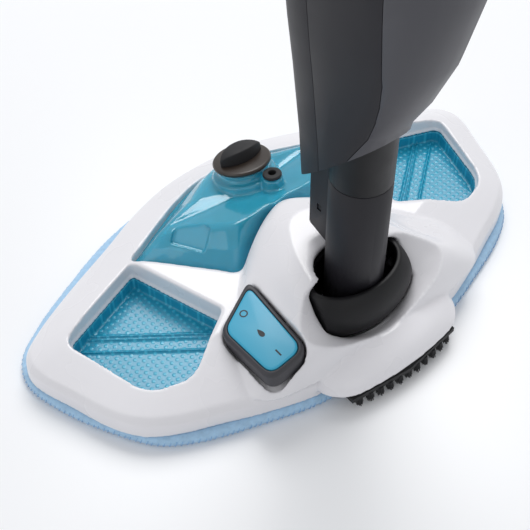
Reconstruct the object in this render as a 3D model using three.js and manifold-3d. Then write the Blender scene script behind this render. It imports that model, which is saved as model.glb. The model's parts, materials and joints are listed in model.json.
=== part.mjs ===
// Upright steam mop: floor head with cloth, detergent tank and pedal, tilting and swivelling neck,
// body with boiler, pump and water tank, and a handle with a trigger grip.
// Millimetres. +Z up, +Y towards the front of the head, +X to the right.
// The origin is on the floor under the axis of the neck tube.

import * as THREE from 'three';
import { mergeVertices } from 'three/addons/utils/BufferGeometryUtils.js';
import Module from 'manifold-3d';

const wasm = await Module();
wasm.setup();

// ---------------------------------------------------------------- driving dimensions

const fitGap = 0.3;              // between pieces that touch
const runGap = 1.0;              // between pieces that move past each other
const past = 1;                  // how far a cutting solid runs beyond what it cuts
const wide = 400;                // size of a cutting solid that spans the whole mop
const roundSides = 22;
const smallSides = 10;
const pinSides = 18;            // a pin and its bore turn in each other, so both are finer
const outlineSteps = 46;
const sectionSteps = 28;

const clothThickness = 6.7;
const coverWall = 2.6;
const coverEdge = clothThickness + fitGap;
const sideRise = 9;              // upright part of the cover's side
const creaseRise = 13.5;         // from the cover's lower edge to the crease round its top
const rimRise = 20.5;            // to the sloping top, rimInset in from the side
const crownRise = 27;            // to the flat crown, crownInset in from the side
const rimInset = 20;
const crownInset = 42;
const headHalfWidth = 163.5;
const headCentreY = 58;
const headHalfDepth = 90;
const steamPlateThickness = 3.4;
const steamPlateMargin = 5;
const steamHoleRadius = 2.2;
const bossRadius = 4.5;
const screwBore = 1.5;
const screwReach = 6;
const nozzleY = 44;
const nozzleRadius = 5;
const hookStripThickness = 1.2;
const hookStripWidth = 84;
const hookStripDepth = 34;
const hookStripX = 84;
const hookStripY = 66;
const baseScrewFrontX = 62;
const baseScrewRearX = 107;
const baseScrewFrontY = 112;
const baseScrewRearY = 2.5;

const tankFloor = 24.3;
const tankWall = 2;
const tankPeak = 50;             // height of the tank's top at its rear edge
const tankRearY = 64.5;
const tankFall = 0.1;            // how the top falls away towards the front
const tankFrontCurve = 0.002;
const tankSideCurve = 0.0018;
const tankCornerX = 41;
const tankShoulderY = 98;
const tankFrontY = 127;
const fillerX = 4;
const fillerY = 101;
const fillerLean = THREE.MathUtils.degToRad(-14);
const fillerBore = 11;
const fillerNeckRadius = 15;
const fillerRise = 6;
const capRadius = 17.5;
const capSkirt = 10.3;
const capFlange = 3;
const gripRidge = 8.5;
const ventX = 9;
const ventY = 80;
const ventRadius = 5;
const outletY = tankRearY + 8;
const outletBore = 3.4;

const windowFloor = 13.2;
const trayFloorThickness = 2;
const windowSkirt = 20.8;        // underside of the white frame round each window
const windowLedge = 1.5;
const windowRibWidth = 1.6;

const tubeRadius = 16;
const tubeWall = 3;
const yokeSlotX = tubeRadius + 11;     // the yoke's slot leaves the tube room to swing
const yokeSlotY = tubeRadius + 0.7;
const yokeRadius = yokeSlotY + 8.3;
const yokeHalfWidth = yokeSlotX + 4;
const yokeReach = yokeHalfWidth + 7;   // where the yoke's rounded sides would meet its axis
const yokeRunGap = 0.9;
const pivotHeight = coverEdge + steamPlateThickness + 0.6 + yokeRadius;
const swingLimit = THREE.MathUtils.degToRad(15);
const yokeRim = pivotHeight + 16;
const trunnionRadius = 4;
const trunnionLength = 7.5;
const bearingRadius = 6;
const bearingWidth = bearingRadius * 2;
const tubePinRadius = 3.5;
const tubePinHalf = yokeSlotY + 4.5;
const tubeFoot = pivotHeight - 14;
const tubeSeam = 118.5;
const finReach = 31;
const finThickness = 12;
const finFoot = 63;

const pedalY = 2;
const pedalPinZ = 33;
const pedalPinRadius = 2;
const pedalPinInside = 9;        // how far the pin goes into the pedal, left of its middle
const pedalPinReach = 20;        // and into the cover's wall, right of it
const bearingThickness = 6;
const pedalX = -(yokeHalfWidth + runGap + bearingThickness + 3.5 + pedalPinReach);
const pedalLean = THREE.MathUtils.degToRad(-8);
const pedalTop = 41.5;
const pedalFoot = 30;
const pedalRim = 2.6;
const wellFloor = 26;

const brushTop = 12.2;
const brushStripThickness = 3.2;
const brushDepth = 9;
const brushBow = 5;
const brushY = -46.5;
const tuftCount = 11;
const tuftPitch = 6.5;
const tuftRadius = 2.1;
const tuftFoot = 2.8;

const bodyWall = 2.4;
const bodyEdgeZ = 136;           // height of the slanting lower edge at the tube's axis
const bodyTop = 560;
const frontSeamY = 8.5;
const socketTop = 236;
const frameRib = 4;
const upperRibZ = 518;
const spineWidth = 36;
const spineDepth = 6;
const spineY = 5;

const waterTankFoot = 300;
const waterTankTop = 438;
const waterTankWall = 2;
const waterTankBack = 11;
const waterNeckRadius = 12;
const waterNeckBore = 9;
const waterNeckRise = 8;
const waterValveBore = 4.5;

const boilerRadius = 19;
const boilerFoot = 262;
const boilerLength = 92;
const boilerY = -27;
const pumpFoot = 384;
const pumpRadius = 14;
const pumpLength = 62;
const hoseRadius = 3;

const dialZ = 505;
const dialRadius = 14;
const dialHeight = 9;
const lensZ = 474;
const lensRadius = 4;
const dialStem = 4;
const lensSides = 16;
const latchZ = 450;
const latchWidth = 18;
const latchHeight = 9;
const glandZ = 470;
const glandRadius = 5;

const handleRadius = 12.5;
const handleWall = 1.6;
const handleFoot = 530;
const handleSocketTop = 578;
const handleSocketWall = 3.2;
const handleScrewZ = 570;
const gripFoot = 905;
const gripTop = 1160;
const gripHalfWidth = 14.5;
const gripHalfDepth = 17;
const gripWall = 2.6;
const gripLeanBack = 26;
const triggerZ = 1010;
const triggerHeight = 46;
const triggerWidth = 13;
const triggerPinRadius = 1.6;
const triggerPinZ = triggerZ + triggerHeight / 2 - 5;
const triggerPinY = 2;
const hookPost = 7;
const upperHookZ = 880;
const lowerHookZ = 640;
const hookSpan = 46;

// ---------------------------------------------------------------- outlines, as half outlines with x >= 0

const coverHalf = [
  [0, -31], [46, -29.5], [76, -20.5], [100, -10.5], [121, -1.5], [135, 8], [145, 22], [156, 50],
  [162, 66], [headHalfWidth, 77], [159.5, 87], [148, 95.5], [120, 109.5], [85, 124.5], [55, 138],
  [28, 145.8], [0, 148],
];
const clothHalf = [
  [0, -33], [47, -31.2], [79, -22], [113, -9.3], [131, 2.5], [144.5, 22], [158.5, 50.5],
  [165, 77], [159.5, 94], [141, 108.5], [115.5, 122], [77, 139], [40, 148], [0, 151],
];
const moundLevels = [
  { z: 20, half: [[0, 65], [26, 60], [46, 46], [64, 30], [84, 6], [80, -20], [52, -29], [0, -31]] },
  { z: 33, half: [[0, 65], [25, 59], [43, 44], [58, 28], [72, 4], [66, -19], [46, -27], [0, -29]] },
  { z: 44, half: [[0, 65], [21, 58], [34, 42], [43, 22], [49, 0], [53, -15], [42, -22], [0, -26]] },
  { z: 53, half: [[0, 61], [14, 53], [24, 37], [32, 20], [37, 3], [38, -8], [30, -14], [0, -18]] },
  { z: 57.5, half: [[0, 46], [9, 43], [17, 33], [23, 20], [27, 6], [27, -2], [20, -8], [0, -11]] },
];
const shroudLevels = [
  { z: brushTop, half: [[0, 0], [44, 0], [50, -10], [50, -27], [47, -36], [38, -43.5], [20, -47], [0, -48]] },
  { z: 17, half: [[0, 0], [44, 0], [49, -10], [49, -26.5], [46, -35], [37, -42.5], [20, -46], [0, -47]] },
  { z: 23, half: [[0, 0], [40, 0], [45, -10], [45, -24], [42, -31], [34, -37], [18, -40.5], [0, -41.5]] },
  { z: 27, half: [[0, 0], [34, 0], [39, -10], [39, -20], [36, -25], [29, -29], [16, -31.5], [0, -32.5]] },
];
const scoopLevels = [
  { z: 22, half: [[0, 0], [18, 0], [22, -6], [21, -15], [10, -21.5], [0, -23]] },
  { z: 31, half: [[0, 2], [20, 0], [26, -9], [27, -19], [15, -32], [0, -36]] },
  { z: 38, half: [[0, 2], [22, 0], [28, -6], [38, -21], [24, -48], [0, -54]] },
  { z: 46, half: [[0, 2], [22, 1], [31, -3], [52, -21], [34, -62], [0, -70]] },
  { z: 54, half: [[0, 2], [21, 1], [36, -1], [62, -20], [40, -72], [0, -84]] },
  { z: 70, half: [[0, 2], [19, 1], [46, 2], [82, -18], [50, -90], [0, -100]] },
];
const tankHalf = [
  [0, tankRearY], [9, 63], [18, 59], [30, 53.5], [41, 49.5], [50, 59], [70, 82], [81, 94.5], [80, 97.5],
  [72, 101.5], [53, 111], [36, 119], [14, 126.3], [0, 127],
];
const windowInner = 2.5 - pedalX;       // the window's corner beside the pedal
const windowCorners = [
  { x: 84, y: 94, r: 3 }, { x: 141, y: 72, r: 7 }, { x: 124, y: 18, r: 12 },
  { x: 99.5, y: 10.5, r: 9 }, { x: windowInner, y: 33.5, r: 3 },
];
const pedalCorners = [
  { x: 17.5, y: 32.5, r: 6.5 }, { x: -15, y: 16.5, r: 7 }, { x: -13.5, y: -24.5, r: 7.5 },
  { x: 13, y: -24, r: 8.5 },
];
// height, front, rear and half width of the body's section
const bodyLevels = [
  [96, 34, -16.6, 19], [140, 36, -17, 21.5], [160, 37, -21, 23.5], [180, 38, -32, 25.5],
  [205, 39.5, -42, 28.5], [240, 41, -50, 32], [300, 42, -56, 36], [400, 42, -56, 37],
  [480, 38, -48, 33], [530, 30, -34, 26], [bodyTop, 21, -21, 18.5],
];
const rearSeam = [
  [-8, 144], [-12, 152], [-17, 162], [-22, 175], [-25, 186], [-27.5, 200], [-29.5, 240], [-31, 300],
  [-31, 430], [-24, 490], [-15, 540], [-13, 562],
];

// ---------------------------------------------------------------- finishes

const finishes = {
  whiteShell: { color: 0xf1f0f2, roughness: 0.32, metalness: 0 },
  tankBlue: { color: 0x3fa6c4, roughness: 0.15, metalness: 0 },
  windowBlue: { color: 0x52acc6, roughness: 0.4, metalness: 0 },
  insertBlue: { color: 0x4aa9d0, roughness: 0.35, metalness: 0 },
  bodyGrey: { color: 0x333338, roughness: 0.55, metalness: 0 },
  rearGrey: { color: 0x4a4a50, roughness: 0.5, metalness: 0 },
  pedalGrey: { color: 0x3c3c40, roughness: 0.5, metalness: 0 },
  jointBlack: { color: 0x222226, roughness: 0.55, metalness: 0 },
  rubberBlack: { color: 0x1b1b1d, roughness: 0.8, metalness: 0 },
  clothBlue: { color: 0x9cc2e8, roughness: 0.95, metalness: 0 },
  hookGrey: { color: 0xd8d8da, roughness: 0.9, metalness: 0 },
  steel: { color: 0xb9bcc0, roughness: 0.3, metalness: 1 },
  aluminium: { color: 0xc9cbce, roughness: 0.4, metalness: 1 },
  brass: { color: 0xb99a52, roughness: 0.35, metalness: 1 },
  hoseWhite: { color: 0xdedcd6, roughness: 0.6, metalness: 0 },
  smokedClear: { color: 0x7fb6c8, roughness: 0.12, metalness: 0 },
};

// ---------------------------------------------------------------- shaping helpers

function mirrored(half) {
  const other = half.slice(1, -1).reverse().map(([x, y]) => [-x, y]);
  return [...half, ...other];
}

function counterClockwise(points) {
  return THREE.ShapeUtils.area(points) < 0 ? points.slice().reverse() : points;
}

function smoothOutline(corners, steps) {
  const knots = corners.map(([x, y]) => new THREE.Vector3(x, y, 0));
  const curve = new THREE.CatmullRomCurve3(knots, true, 'centripetal');
  const points = [];
  for (let i = 0; i < steps; i += 1) {
    const p = curve.getPoint(i / steps);
    points.push(new THREE.Vector2(p.x, p.y));
  }
  return counterClockwise(points);
}

function roundedOutline(corners) {
  const path = new THREE.Path();
  const count = corners.length;
  corners.forEach((corner, i) => {
    const here = new THREE.Vector2(corner.x, corner.y);
    const before = new THREE.Vector2(corners[(i + count - 1) % count].x, corners[(i + count - 1) % count].y);
    const after = new THREE.Vector2(corners[(i + 1) % count].x, corners[(i + 1) % count].y);
    const start = here.clone().add(before.sub(here).setLength(corner.r));
    const end = here.clone().add(after.sub(here).setLength(corner.r));
    if (i === 0) path.moveTo(start.x, start.y);
    else path.lineTo(start.x, start.y);
    path.quadraticCurveTo(here.x, here.y, end.x, end.y);
  });
  path.closePath();
  const points = path.getPoints(4);
  const first = points[0];
  const last = points[points.length - 1];
  if (first.distanceTo(last) < fitGap) points.pop();
  return counterClockwise(points);
}

// Moves each point of a counter-clockwise outline outwards, or inwards where the distance is negative.
function offsetOutline(points, distance) {
  const count = points.length;
  return points.map((point, i) => {
    const before = point.clone().sub(points[(i + count - 1) % count]).normalize();
    const after = points[(i + 1) % count].clone().sub(point).normalize();
    const normal = new THREE.Vector2(before.y + after.y, -before.x - after.x).normalize();
    const reach = Math.max(normal.dot(new THREE.Vector2(after.y, -after.x)), 0.5);
    return point.clone().addScaledVector(normal, distance / reach);
  });
}

// Draws the corners of an outline in by a distance, and rounds them less to match.
function insetCorners(corners, distance) {
  const plain = counterClockwise(corners.map(({ x, y }) => new THREE.Vector2(x, y)));
  const radii = plain.map((p) => corners.find(({ x, y }) => x === p.x && y === p.y).r);
  return offsetOutline(plain, -distance).map((p, i) => ({ x: p.x, y: p.y, r: Math.max(1,
    radii[i] - distance / 2) }));
}

function flipX(points) {
  return counterClockwise(points.map((p) => new THREE.Vector2(-p.x, p.y)));
}

function atHeight(points, height) {
  const z = typeof height === 'function' ? height : () => height;
  return points.map((p) => new THREE.Vector3(p.x, p.y, z(p.x, p.y)));
}

// Joins rings of equally many points, listed from the bottom up, into one closed skin.
function loft(rings) {
  const count = rings[0].length;
  const middle = (loop) => loop.reduce((sum, p) => sum.add(p), new THREE.Vector3()).divideScalar(count);
  const ends = [middle(rings[0]), middle(rings[rings.length - 1])];
  const positions = [...rings.flat(), ...ends].flatMap((p) => [p.x, p.y, p.z]);
  const top = (rings.length - 1) * count;
  const index = [];
  for (let i = 0; i < count; i += 1) {
    const next = (i + 1) % count;
    for (let level = 0; level < top; level += count) {
      const [a, b] = [level + i, level + next];
      index.push(a, b, b + count, a, b + count, a + count);
    }
    index.push(next, i, top + count, top + i, top + next, top + count + 1);
  }
  const geometry = new THREE.BufferGeometry();
  geometry.setAttribute('position', new THREE.Float32BufferAttribute(positions, 3));
  geometry.setIndex(index);
  return geometry;
}

function prism(points, foot, top) {
  const shape = new THREE.Shape(points);
  const geometry = new THREE.ExtrudeGeometry(shape, { depth: top - foot, bevelEnabled: false, steps: 1 });
  return geometry.translate(0, 0, foot);
}

// A round solid about the Z axis from [radius, height] pairs, which start and end on the axis.
function turned(profile, sides = roundSides) {
  const points = profile.map(([r, z]) => new THREE.Vector2(r, z));
  return new THREE.LatheGeometry(points, sides).rotateX(Math.PI / 2);
}

function ringProfile(inner, outer, foot, top) {
  return [[inner, foot], [outer, foot], [outer, top], [inner, top], [inner, foot]];
}

function drum(radius, foot, top, sides = roundSides) {
  return turned([[0, foot], [radius, foot], [radius, top], [0, top]], sides);
}

function ring(inner, outer, foot, top, sides = roundSides) {
  return turned(ringProfile(inner, outer, foot, top), sides);
}

function block(x, y, z, sizeX, sizeY, sizeZ) {
  return new THREE.BoxGeometry(sizeX, sizeY, sizeZ).translate(x, y, z);
}

function tube(points, radius, sides = 8, steps = 20) {
  const curve = new THREE.CatmullRomCurve3(points.map((p) => new THREE.Vector3(...p)));
  const shape = new THREE.Shape().absarc(0, 0, radius, 0, Math.PI * 2);
  const outline = new THREE.Shape(shape.getSpacedPoints(sides).slice(0, sides));
  return new THREE.ExtrudeGeometry(outline, { steps, extrudePath: curve, bevelEnabled: false });
}

const alongX = (geometry) => geometry.rotateY(Math.PI / 2);
const alongY = (geometry) => geometry.rotateX(-Math.PI / 2);

// ---------------------------------------------------------------- solids

function solid(geometry) {
  const bare = geometry.clone();
  bare.deleteAttribute('normal');
  bare.deleteAttribute('uv');
  const merged = mergeVertices(bare, 1e-4);
  const source = merged.index.array;
  const triangles = [];
  for (let i = 0; i < source.length; i += 3) {
    const [a, b, c] = [source[i], source[i + 1], source[i + 2]];
    if (a !== b && b !== c && a !== c) triangles.push(a, b, c);
  }
  const p = merged.attributes.position;
  let volume = 0;
  const corner = (i) => new THREE.Vector3().fromBufferAttribute(p, i);
  for (let i = 0; i < triangles.length; i += 3) {
    const [a, b, c] = [corner(triangles[i]), corner(triangles[i + 1]), corner(triangles[i + 2])];
    volume += a.dot(b.cross(c));
  }
  if (volume < 0) triangles.reverse();
  return new wasm.Manifold(new wasm.Mesh({
    numProp: 3,
    vertProperties: new Float32Array(p.array),
    triVerts: new Uint32Array(triangles),
  }));
}

function join(first, ...others) {
  return others.reduce((whole, other) => whole.add(other), first);
}

function cut(first, ...others) {
  return others.reduce((whole, other) => whole.subtract(other), first);
}

const pieces = [];

function piece(name, manifold, finish) {
  const mesh = manifold.getMesh();
  const geometry = new THREE.BufferGeometry();
  geometry.setAttribute('position', new THREE.BufferAttribute(mesh.vertProperties, 3));
  geometry.setIndex(new THREE.BufferAttribute(mesh.triVerts, 1));
  geometry.computeVertexNormals();
  const node = new THREE.Mesh(geometry, new THREE.MeshStandardMaterial(finishes[finish]));
  node.name = name;
  pieces.push(node);
  return node;
}

function placed(node, x, y, z, turnX = 0, turnY = 0, turnZ = 0) {
  node.position.set(x, y, z);
  node.rotation.set(turnX, turnY, turnZ);
  return node;
}

// ---------------------------------------------------------------- head

const coverOutline = smoothOutline(mirrored(coverHalf), outlineSteps);
const clothOutline = smoothOutline(mirrored(clothHalf), outlineSteps);
const tankOutline = smoothOutline(mirrored(tankHalf), outlineSteps);
const windowOutline = roundedOutline(windowCorners);
const pedalOutline = roundedOutline(pedalCorners);
const steamPlateTop = coverEdge + steamPlateThickness;
const wellLean = new THREE.Matrix4().makeTranslation(pedalX, pedalY, pedalPinZ)
  .multiply(new THREE.Matrix4().makeRotationY(pedalLean));

// The cover's outline drawn in towards the middle of the head by a distance.
function headRing(inset, height) {
  const scaleX = 1 - inset / headHalfWidth;
  const scaleY = 1 - inset / headHalfDepth;
  const points = coverOutline.map((p) => new THREE.Vector2(p.x * scaleX,
    headCentreY + (p.y - headCentreY) * scaleY));
  return atHeight(points, height);
}

function lowCover(wall) {
  const levels = wall > 0
    ? [[coverEdge - past, wall], [coverEdge + sideRise, wall + 1]]
    : [[coverEdge, 0], [coverEdge + sideRise, 1]];
  return loft([
    ...levels.map(([z, inset]) => headRing(inset, z)),
    headRing(4 + wall, coverEdge + creaseRise - wall),
    headRing(rimInset + wall, coverEdge + rimRise - wall),
    headRing(crownInset + wall, coverEdge + crownRise - wall),
  ]);
}

function levelLoft(levels, wall, steps) {
  return loft(levels.map((level, i) => {
    const drop = wall > 0 && i === 0 ? past : 0;
    const lowered = wall > 0 && i === levels.length - 1 ? wall : 0;
    const points = offsetOutline(smoothOutline(mirrored(level.half), steps), -wall);
    return atHeight(points, level.z - drop - lowered);
  }));
}

function coverForm(wall) {
  const mound = levelLoft(moundLevels, wall, 32);
  const shroud = levelLoft(shroudLevels, wall, 28);
  return join(solid(lowCover(wall)), solid(mound), solid(shroud));
}

// The round hollow that the yoke turns in, wider than it by the gap.
function yokeHollow(gap) {
  return solid(alongX(yokeTurned(gap)).translate(0, 0, pivotHeight));
}

// The yoke's rounded form about its own axis, larger all round by the gap.
function yokeTurned(gap) {
  const end = yokeHalfWidth + gap;
  const stations = [-1, -0.78, -0.52, -0.26, 0, 0.26, 0.52, 0.78, 1].map((share) => share * end);
  const radius = (x) => (yokeRadius + gap) * Math.sqrt(1 - (x / (yokeReach + gap)) ** 2);
  const skin = stations.map((x) => [radius(x), x]);
  return turned([[0, -end], ...skin, [0, end]], 36);
}

function scoop(gap) {
  return solid(loft(scoopLevels.map((level) => {
    const points = smoothOutline(mirrored(level.half), 24);
    return atHeight(offsetOutline(points, gap), level.z - gap);
  })));
}

// The open way above the yoke in which the tube stands, swings from side to side and leans back.
function tubeWay() {
  const reach = (tubeRadius + runGap) / Math.cos(swingLimit);
  const ringAt = (z) => {
    const swing = Math.max(0, z - pivotHeight) * Math.tan(swingLimit);
    const points = [];
    for (let i = 0; i <= 16; i += 1) {
      const angle = (i / 16) * Math.PI;
      const x = Math.sign(Math.cos(angle)) * swing + reach * Math.cos(angle);
      points.push(new THREE.Vector3(x, reach * Math.sin(angle), z));
    }
    points.push(new THREE.Vector3(-swing - reach, -yokeRadius, z), new THREE.Vector3(swing + reach,
      -yokeRadius, z));
    return points;
  };
  return solid(loft([ringAt(pivotHeight), ringAt(coverEdge + wide / 4)]));
}

function pedalWell(gap) {
  const outline = offsetOutline(pedalOutline, gap);
  const well = prism(outline, wellFloor - pedalPinZ - gap, wide).applyMatrix4(wellLean);
  return solid(well);
}

function tankPocket(gap) {
  return solid(prism(offsetOutline(tankOutline, gap), tankFloor - fitGap - gap, wide));
}

function windowHole(side, gap, foot) {
  const outline = offsetOutline(windowOutline, gap);
  return solid(prism(side < 0 ? flipX(outline) : outline, foot, wide));
}

const baseScrewPlaces = [
  [-baseScrewRearX, baseScrewRearY], [baseScrewRearX, baseScrewRearY],
  [-baseScrewFrontX, baseScrewFrontY], [baseScrewFrontX, baseScrewFrontY],
];

function screwBosses(outer) {
  const posts = baseScrewPlaces.map(([x, y]) => {
    const foot = steamPlateTop + fitGap;
    return solid(drum(bossRadius, foot, coverEdge + rimRise, smallSides).translate(x, y, 0));
  });
  return join(posts[0], ...posts.slice(1)).intersect(outer);
}


function bearingSpace(gap) {
  const size = bearingThickness + 2 * gap;
  const middle = yokeHalfWidth + runGap + bearingThickness / 2;
  const tall = pivotHeight + bearingRadius + gap - steamPlateTop;
  const spaces = [-1, 1].map((side) => (
    solid(block(side * middle, 0, steamPlateTop + tall / 2 - past / 2, size, bearingWidth + 2 * gap,
      tall + past))
  ));
  return join(...spaces);
}

function headCover() {
  const outer = coverForm(0);
  const shell = cut(outer, coverForm(coverWall));
  const lined = join(
    shell,
    yokeHollow(yokeRunGap + coverWall).intersect(outer),
    scoop(coverWall).intersect(outer),
    pedalWell(runGap + coverWall).intersect(outer),
    tankPocket(fitGap + coverWall).intersect(outer),
    windowHole(-1, coverWall, windowSkirt).intersect(outer),
    windowHole(1, coverWall, windowSkirt).intersect(outer),
    screwBosses(outer),
  );
  const bores = baseScrewPlaces.map(([x, y]) => (
    solid(drum(screwBore, steamPlateTop, steamPlateTop + screwReach + past, smallSides).translate(x, y, 0))
  ));
  const hoseWay = solid(drum(hoseRadius + runGap, coverEdge, tankFloor, smallSides).translate(0,
    tankRearY + 8, 0));
  const below = solid(block(0, 0, steamPlateTop / 2, wide, wide, steamPlateTop + fitGap * 2));
  const keepEdge = cut(below, solid(lowCover(0)));
  const hollowEdge = solid(prism(offsetOutline(coverOutline, -coverWall - 1), -past, steamPlateTop + fitGap));
  const shroudUnder = solid(block(0, -45, (brushTop - past) / 2, 130, 28, brushTop - past));
  return piece('head_cover', cut(
    lined, yokeHollow(yokeRunGap), scoop(0), tubeWay(), pedalWell(runGap), tankPocket(fitGap),
    windowHole(-1, 0, 0), windowHole(1, 0, 0), bearingSpace(fitGap), pinSpace(), hoseWay,
    keepEdge, hollowEdge, shroudUnder, ...bores,
  ), 'whiteShell');
}

function pinSpace() {
  const pin = drum(pedalPinRadius + fitGap / 2, 0, pedalPinReach + past, pinSides);
  return solid(alongX(pin).applyMatrix4(wellLean));
}

function steamPlate() {
  const outline = offsetOutline(coverOutline, -steamPlateMargin);
  const plate = solid(prism(outline, coverEdge, steamPlateTop));
  const strips = [-1, 1].map((side) => (
    solid(block(side * hookStripX, hookStripY, coverEdge, hookStripWidth + 2 * fitGap,
      hookStripDepth + 2 * fitGap, 2 * (hookStripThickness + fitGap)))
  ));
  const holes = [];
  for (let i = -4; i <= 4; i += 1) {
    for (const y of [28, 104]) {
      if (y === 104 || Math.abs(i) > 2) {
        holes.push(solid(drum(steamHoleRadius, 0, wide, 10).translate(i * 18, y, 0)));
      }
    }
  }
  const nozzleHole = solid(drum(nozzleRadius + fitGap, 0, wide, smallSides).translate(0, nozzleY, 0));
  const bores = baseScrewPlaces.map(([x, y]) => (
    solid(turned([[0, 0], [3.6, 0], [3.6, coverEdge + 1.8], [1.9, coverEdge + 1.8], [1.9, wide], [0,
      wide]], smallSides)
      .translate(x, y, 0))
  ));
  return piece('steam_plate', cut(plate, ...strips, ...holes, nozzleHole, ...bores), 'whiteShell');
}

function hookStrips() {
  [['left', -1], ['right', 1]].forEach(([name, side]) => {
    const strip = block(0, 0, hookStripThickness / 2, hookStripWidth, hookStripDepth, hookStripThickness);
    placed(piece(`hook_strip_${name}`, solid(strip), 'hookGrey'), side * hookStripX, hookStripY, coverEdge);
  });
}

function mopCloth() {
  const cloth = loft([
    atHeight(offsetOutline(clothOutline, -1.5), 0),
    atHeight(clothOutline, 2),
    atHeight(clothOutline, clothThickness - 1.5),
    atHeight(offsetOutline(clothOutline, -1.2), clothThickness),
  ]);
  return piece('mop_cloth', solid(cloth), 'clothBlue');
}

function baseScrews() {
  baseScrewPlaces.forEach(([x, y], i) => {
    const top = steamPlateTop + screwReach;
    const head = coverEdge + 1.8 - fitGap;
    const form = [[0, head - 1.5], [3, head - 1.5], [3, head], [1.3, head], [1.3, top], [0, top]];
    placed(piece(`base_screw_${i + 1}`, solid(turned(form, 10)), 'steel'), x, y, 0);
  });
}

function windowTrays() {
  [['left', -1], ['right', 1]].forEach(([name, side]) => {
    const turnedOver = (points) => (side < 0 ? flipX(points) : points);
    const rim = turnedOver(offsetOutline(windowOutline, coverWall));
    const hollow = turnedOver(offsetOutline(windowOutline, -windowLedge));
    const box = solid(prism(rim, windowFloor - trayFloorThickness, windowSkirt - fitGap));
    const space = solid(prism(hollow, windowFloor, wide));
    const ribs = [0, 6].map((shift) => {
      const rib = block(0, 0, windowFloor + 0.6, 66, windowRibWidth, 1.8);
      return solid(rib.rotateZ(-side * 0.63).translate(side * (98 + shift * 0.6), 56 - shift, 0))
        .intersect(space);
    });
    piece(`window_tray_${name}`, join(cut(box, space), ...ribs), 'windowBlue');
  });
}

// ---------------------------------------------------------------- detergent tank

function tankTop(x, y) {
  const forward = y - tankRearY;
  return tankPeak - tankSideCurve * x * x - tankFall * forward - tankFrontCurve * forward * forward;
}

// One ring of the tank's form: the ends lean in, and the front edge draws back.
function tankRing(endScale, shoulder, frontInset, wall, height) {
  const points = tankOutline.map((p) => {
    const towardsEnd = Math.min(1, Math.abs(p.x) / tankCornerX);
    const front = Math.max(0, (p.y - tankShoulderY) / (tankFrontY - tankShoulderY));
    const y = p.y + (tankShoulderY - p.y) * shoulder * towardsEnd - frontInset * front;
    return new THREE.Vector2(p.x * (1 - (1 - endScale) * towardsEnd), y);
  });
  return atHeight(offsetOutline(points, -wall), height);
}

function tankForm(wall) {
  const foot = tankFloor + wall;
  const share = (part) => (x, y) => foot + (tankTop(x, y) - tankFloor) * part - wall * (1 + part);
  return solid(loft([
    tankRing(1, 0, 0, wall, foot),
    tankRing(0.99, 0, 0.4, wall, share(0.25)),
    tankRing(0.86, 0.22, 2.5, wall, share(0.66)),
    tankRing(0.75, 0.38, 6, wall, share(0.95)),
    tankRing(0.68, 0.44, 14, wall, share(1)),
  ]));
}

const fillerPlace = new THREE.Matrix4()
  .makeTranslation(fillerX, fillerY, tankTop(fillerX, fillerY))
  .multiply(new THREE.Matrix4().makeRotationX(fillerLean));
const ventPlace = new THREE.Matrix4()
  .makeTranslation(ventX, ventY, tankTop(ventX, ventY))
  .multiply(new THREE.Matrix4().makeRotationX(fillerLean / 2));

function detergentTank() {
  const outer = join(
    tankForm(0),
    solid(turned([[0, -6], [fillerNeckRadius + 5, -6], [fillerNeckRadius + 4, 1], [fillerNeckRadius, 3],
      [fillerNeckRadius, fillerRise], [0, fillerRise]]).applyMatrix4(fillerPlace)),
    solid(turned([[0, -6], [ventRadius + 2.5, -6], [ventRadius + 1.2, 5], [0, 5]], smallSides)
      .applyMatrix4(ventPlace)),
  );
  const fingerSlots = [-1, 1].map((side) => (
    solid(block(0, 0, 0, 14, 22, 9).rotateY(side * 0.55).translate(side * 63, 86, 40))
  ));
  const fillerHole = solid(drum(fillerBore, -20, 20).applyMatrix4(fillerPlace));
  const ventHole = solid(drum(ventRadius - 2, -15, 20, smallSides).applyMatrix4(ventPlace));
  const outletHole = solid(drum(outletBore, 0, tankFloor + 6, smallSides).translate(0, outletY, 0));
  return piece('detergent_tank', cut(outer, tankForm(tankWall), ...fingerSlots, fillerHole, ventHole,
    outletHole),
    'tankBlue');
}


function tankCap() {
  const skirt = solid(drum(capSkirt, -6, 0).translate(0, 0, 0));
  const flange = solid(turned([[0, 0], [capRadius - 1, 0], [capRadius, 0.8], [capRadius, capFlange - 1],
    [capRadius - 1.4, capFlange], [0, capFlange]]));
  const ridge = solid(turned([[0, 0], [capRadius - 3, 0], [capRadius - 4, gripRidge * 0.6], [0, gripRidge]]));
  const sides = [-1, 1].map((side) => (
    solid(drum(wide / 4, capFlange, wide, 48).translate(0, side * (wide / 4 + 3.6), 0))
  ));
  const cap = join(cut(ridge, ...sides), flange, skirt);
  return cut(cap, solid(drum(capSkirt - 2, -7, -1)));
}

function tankCapPieces() {
  const lift = new THREE.Vector3(0, 0, fillerRise + fitGap + 1).applyMatrix4(fillerPlace);
  placed(piece('tank_cap', tankCap(), 'jointBlack'), lift.x, lift.y, lift.z, fillerLean);
  const seat = new THREE.Vector3(0, 0, fillerRise + fitGap / 2).applyMatrix4(fillerPlace);
  const seal = ring(capSkirt + fitGap, fillerNeckRadius - 0.5, 0, 1, 24);
  placed(piece('tank_cap_seal', solid(seal), 'rubberBlack'), seat.x, seat.y, seat.z, fillerLean);
}

function tankVent() {
  const stem = ventRadius - 2 - fitGap / 2;
  const form = [[0, -4], [stem, -4], [stem, 5.3], [ventRadius + 0.6, 5.3], [ventRadius + 0.6, 7],
    [ventRadius - 1, 7.6], [ventRadius - 2.6, 7.6], [ventRadius - 3, 6.2], [0, 6.2]];
  const vent = solid(turned(form, 18).applyMatrix4(ventPlace));
  return piece('tank_vent', vent, 'rubberBlack');
}

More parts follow.
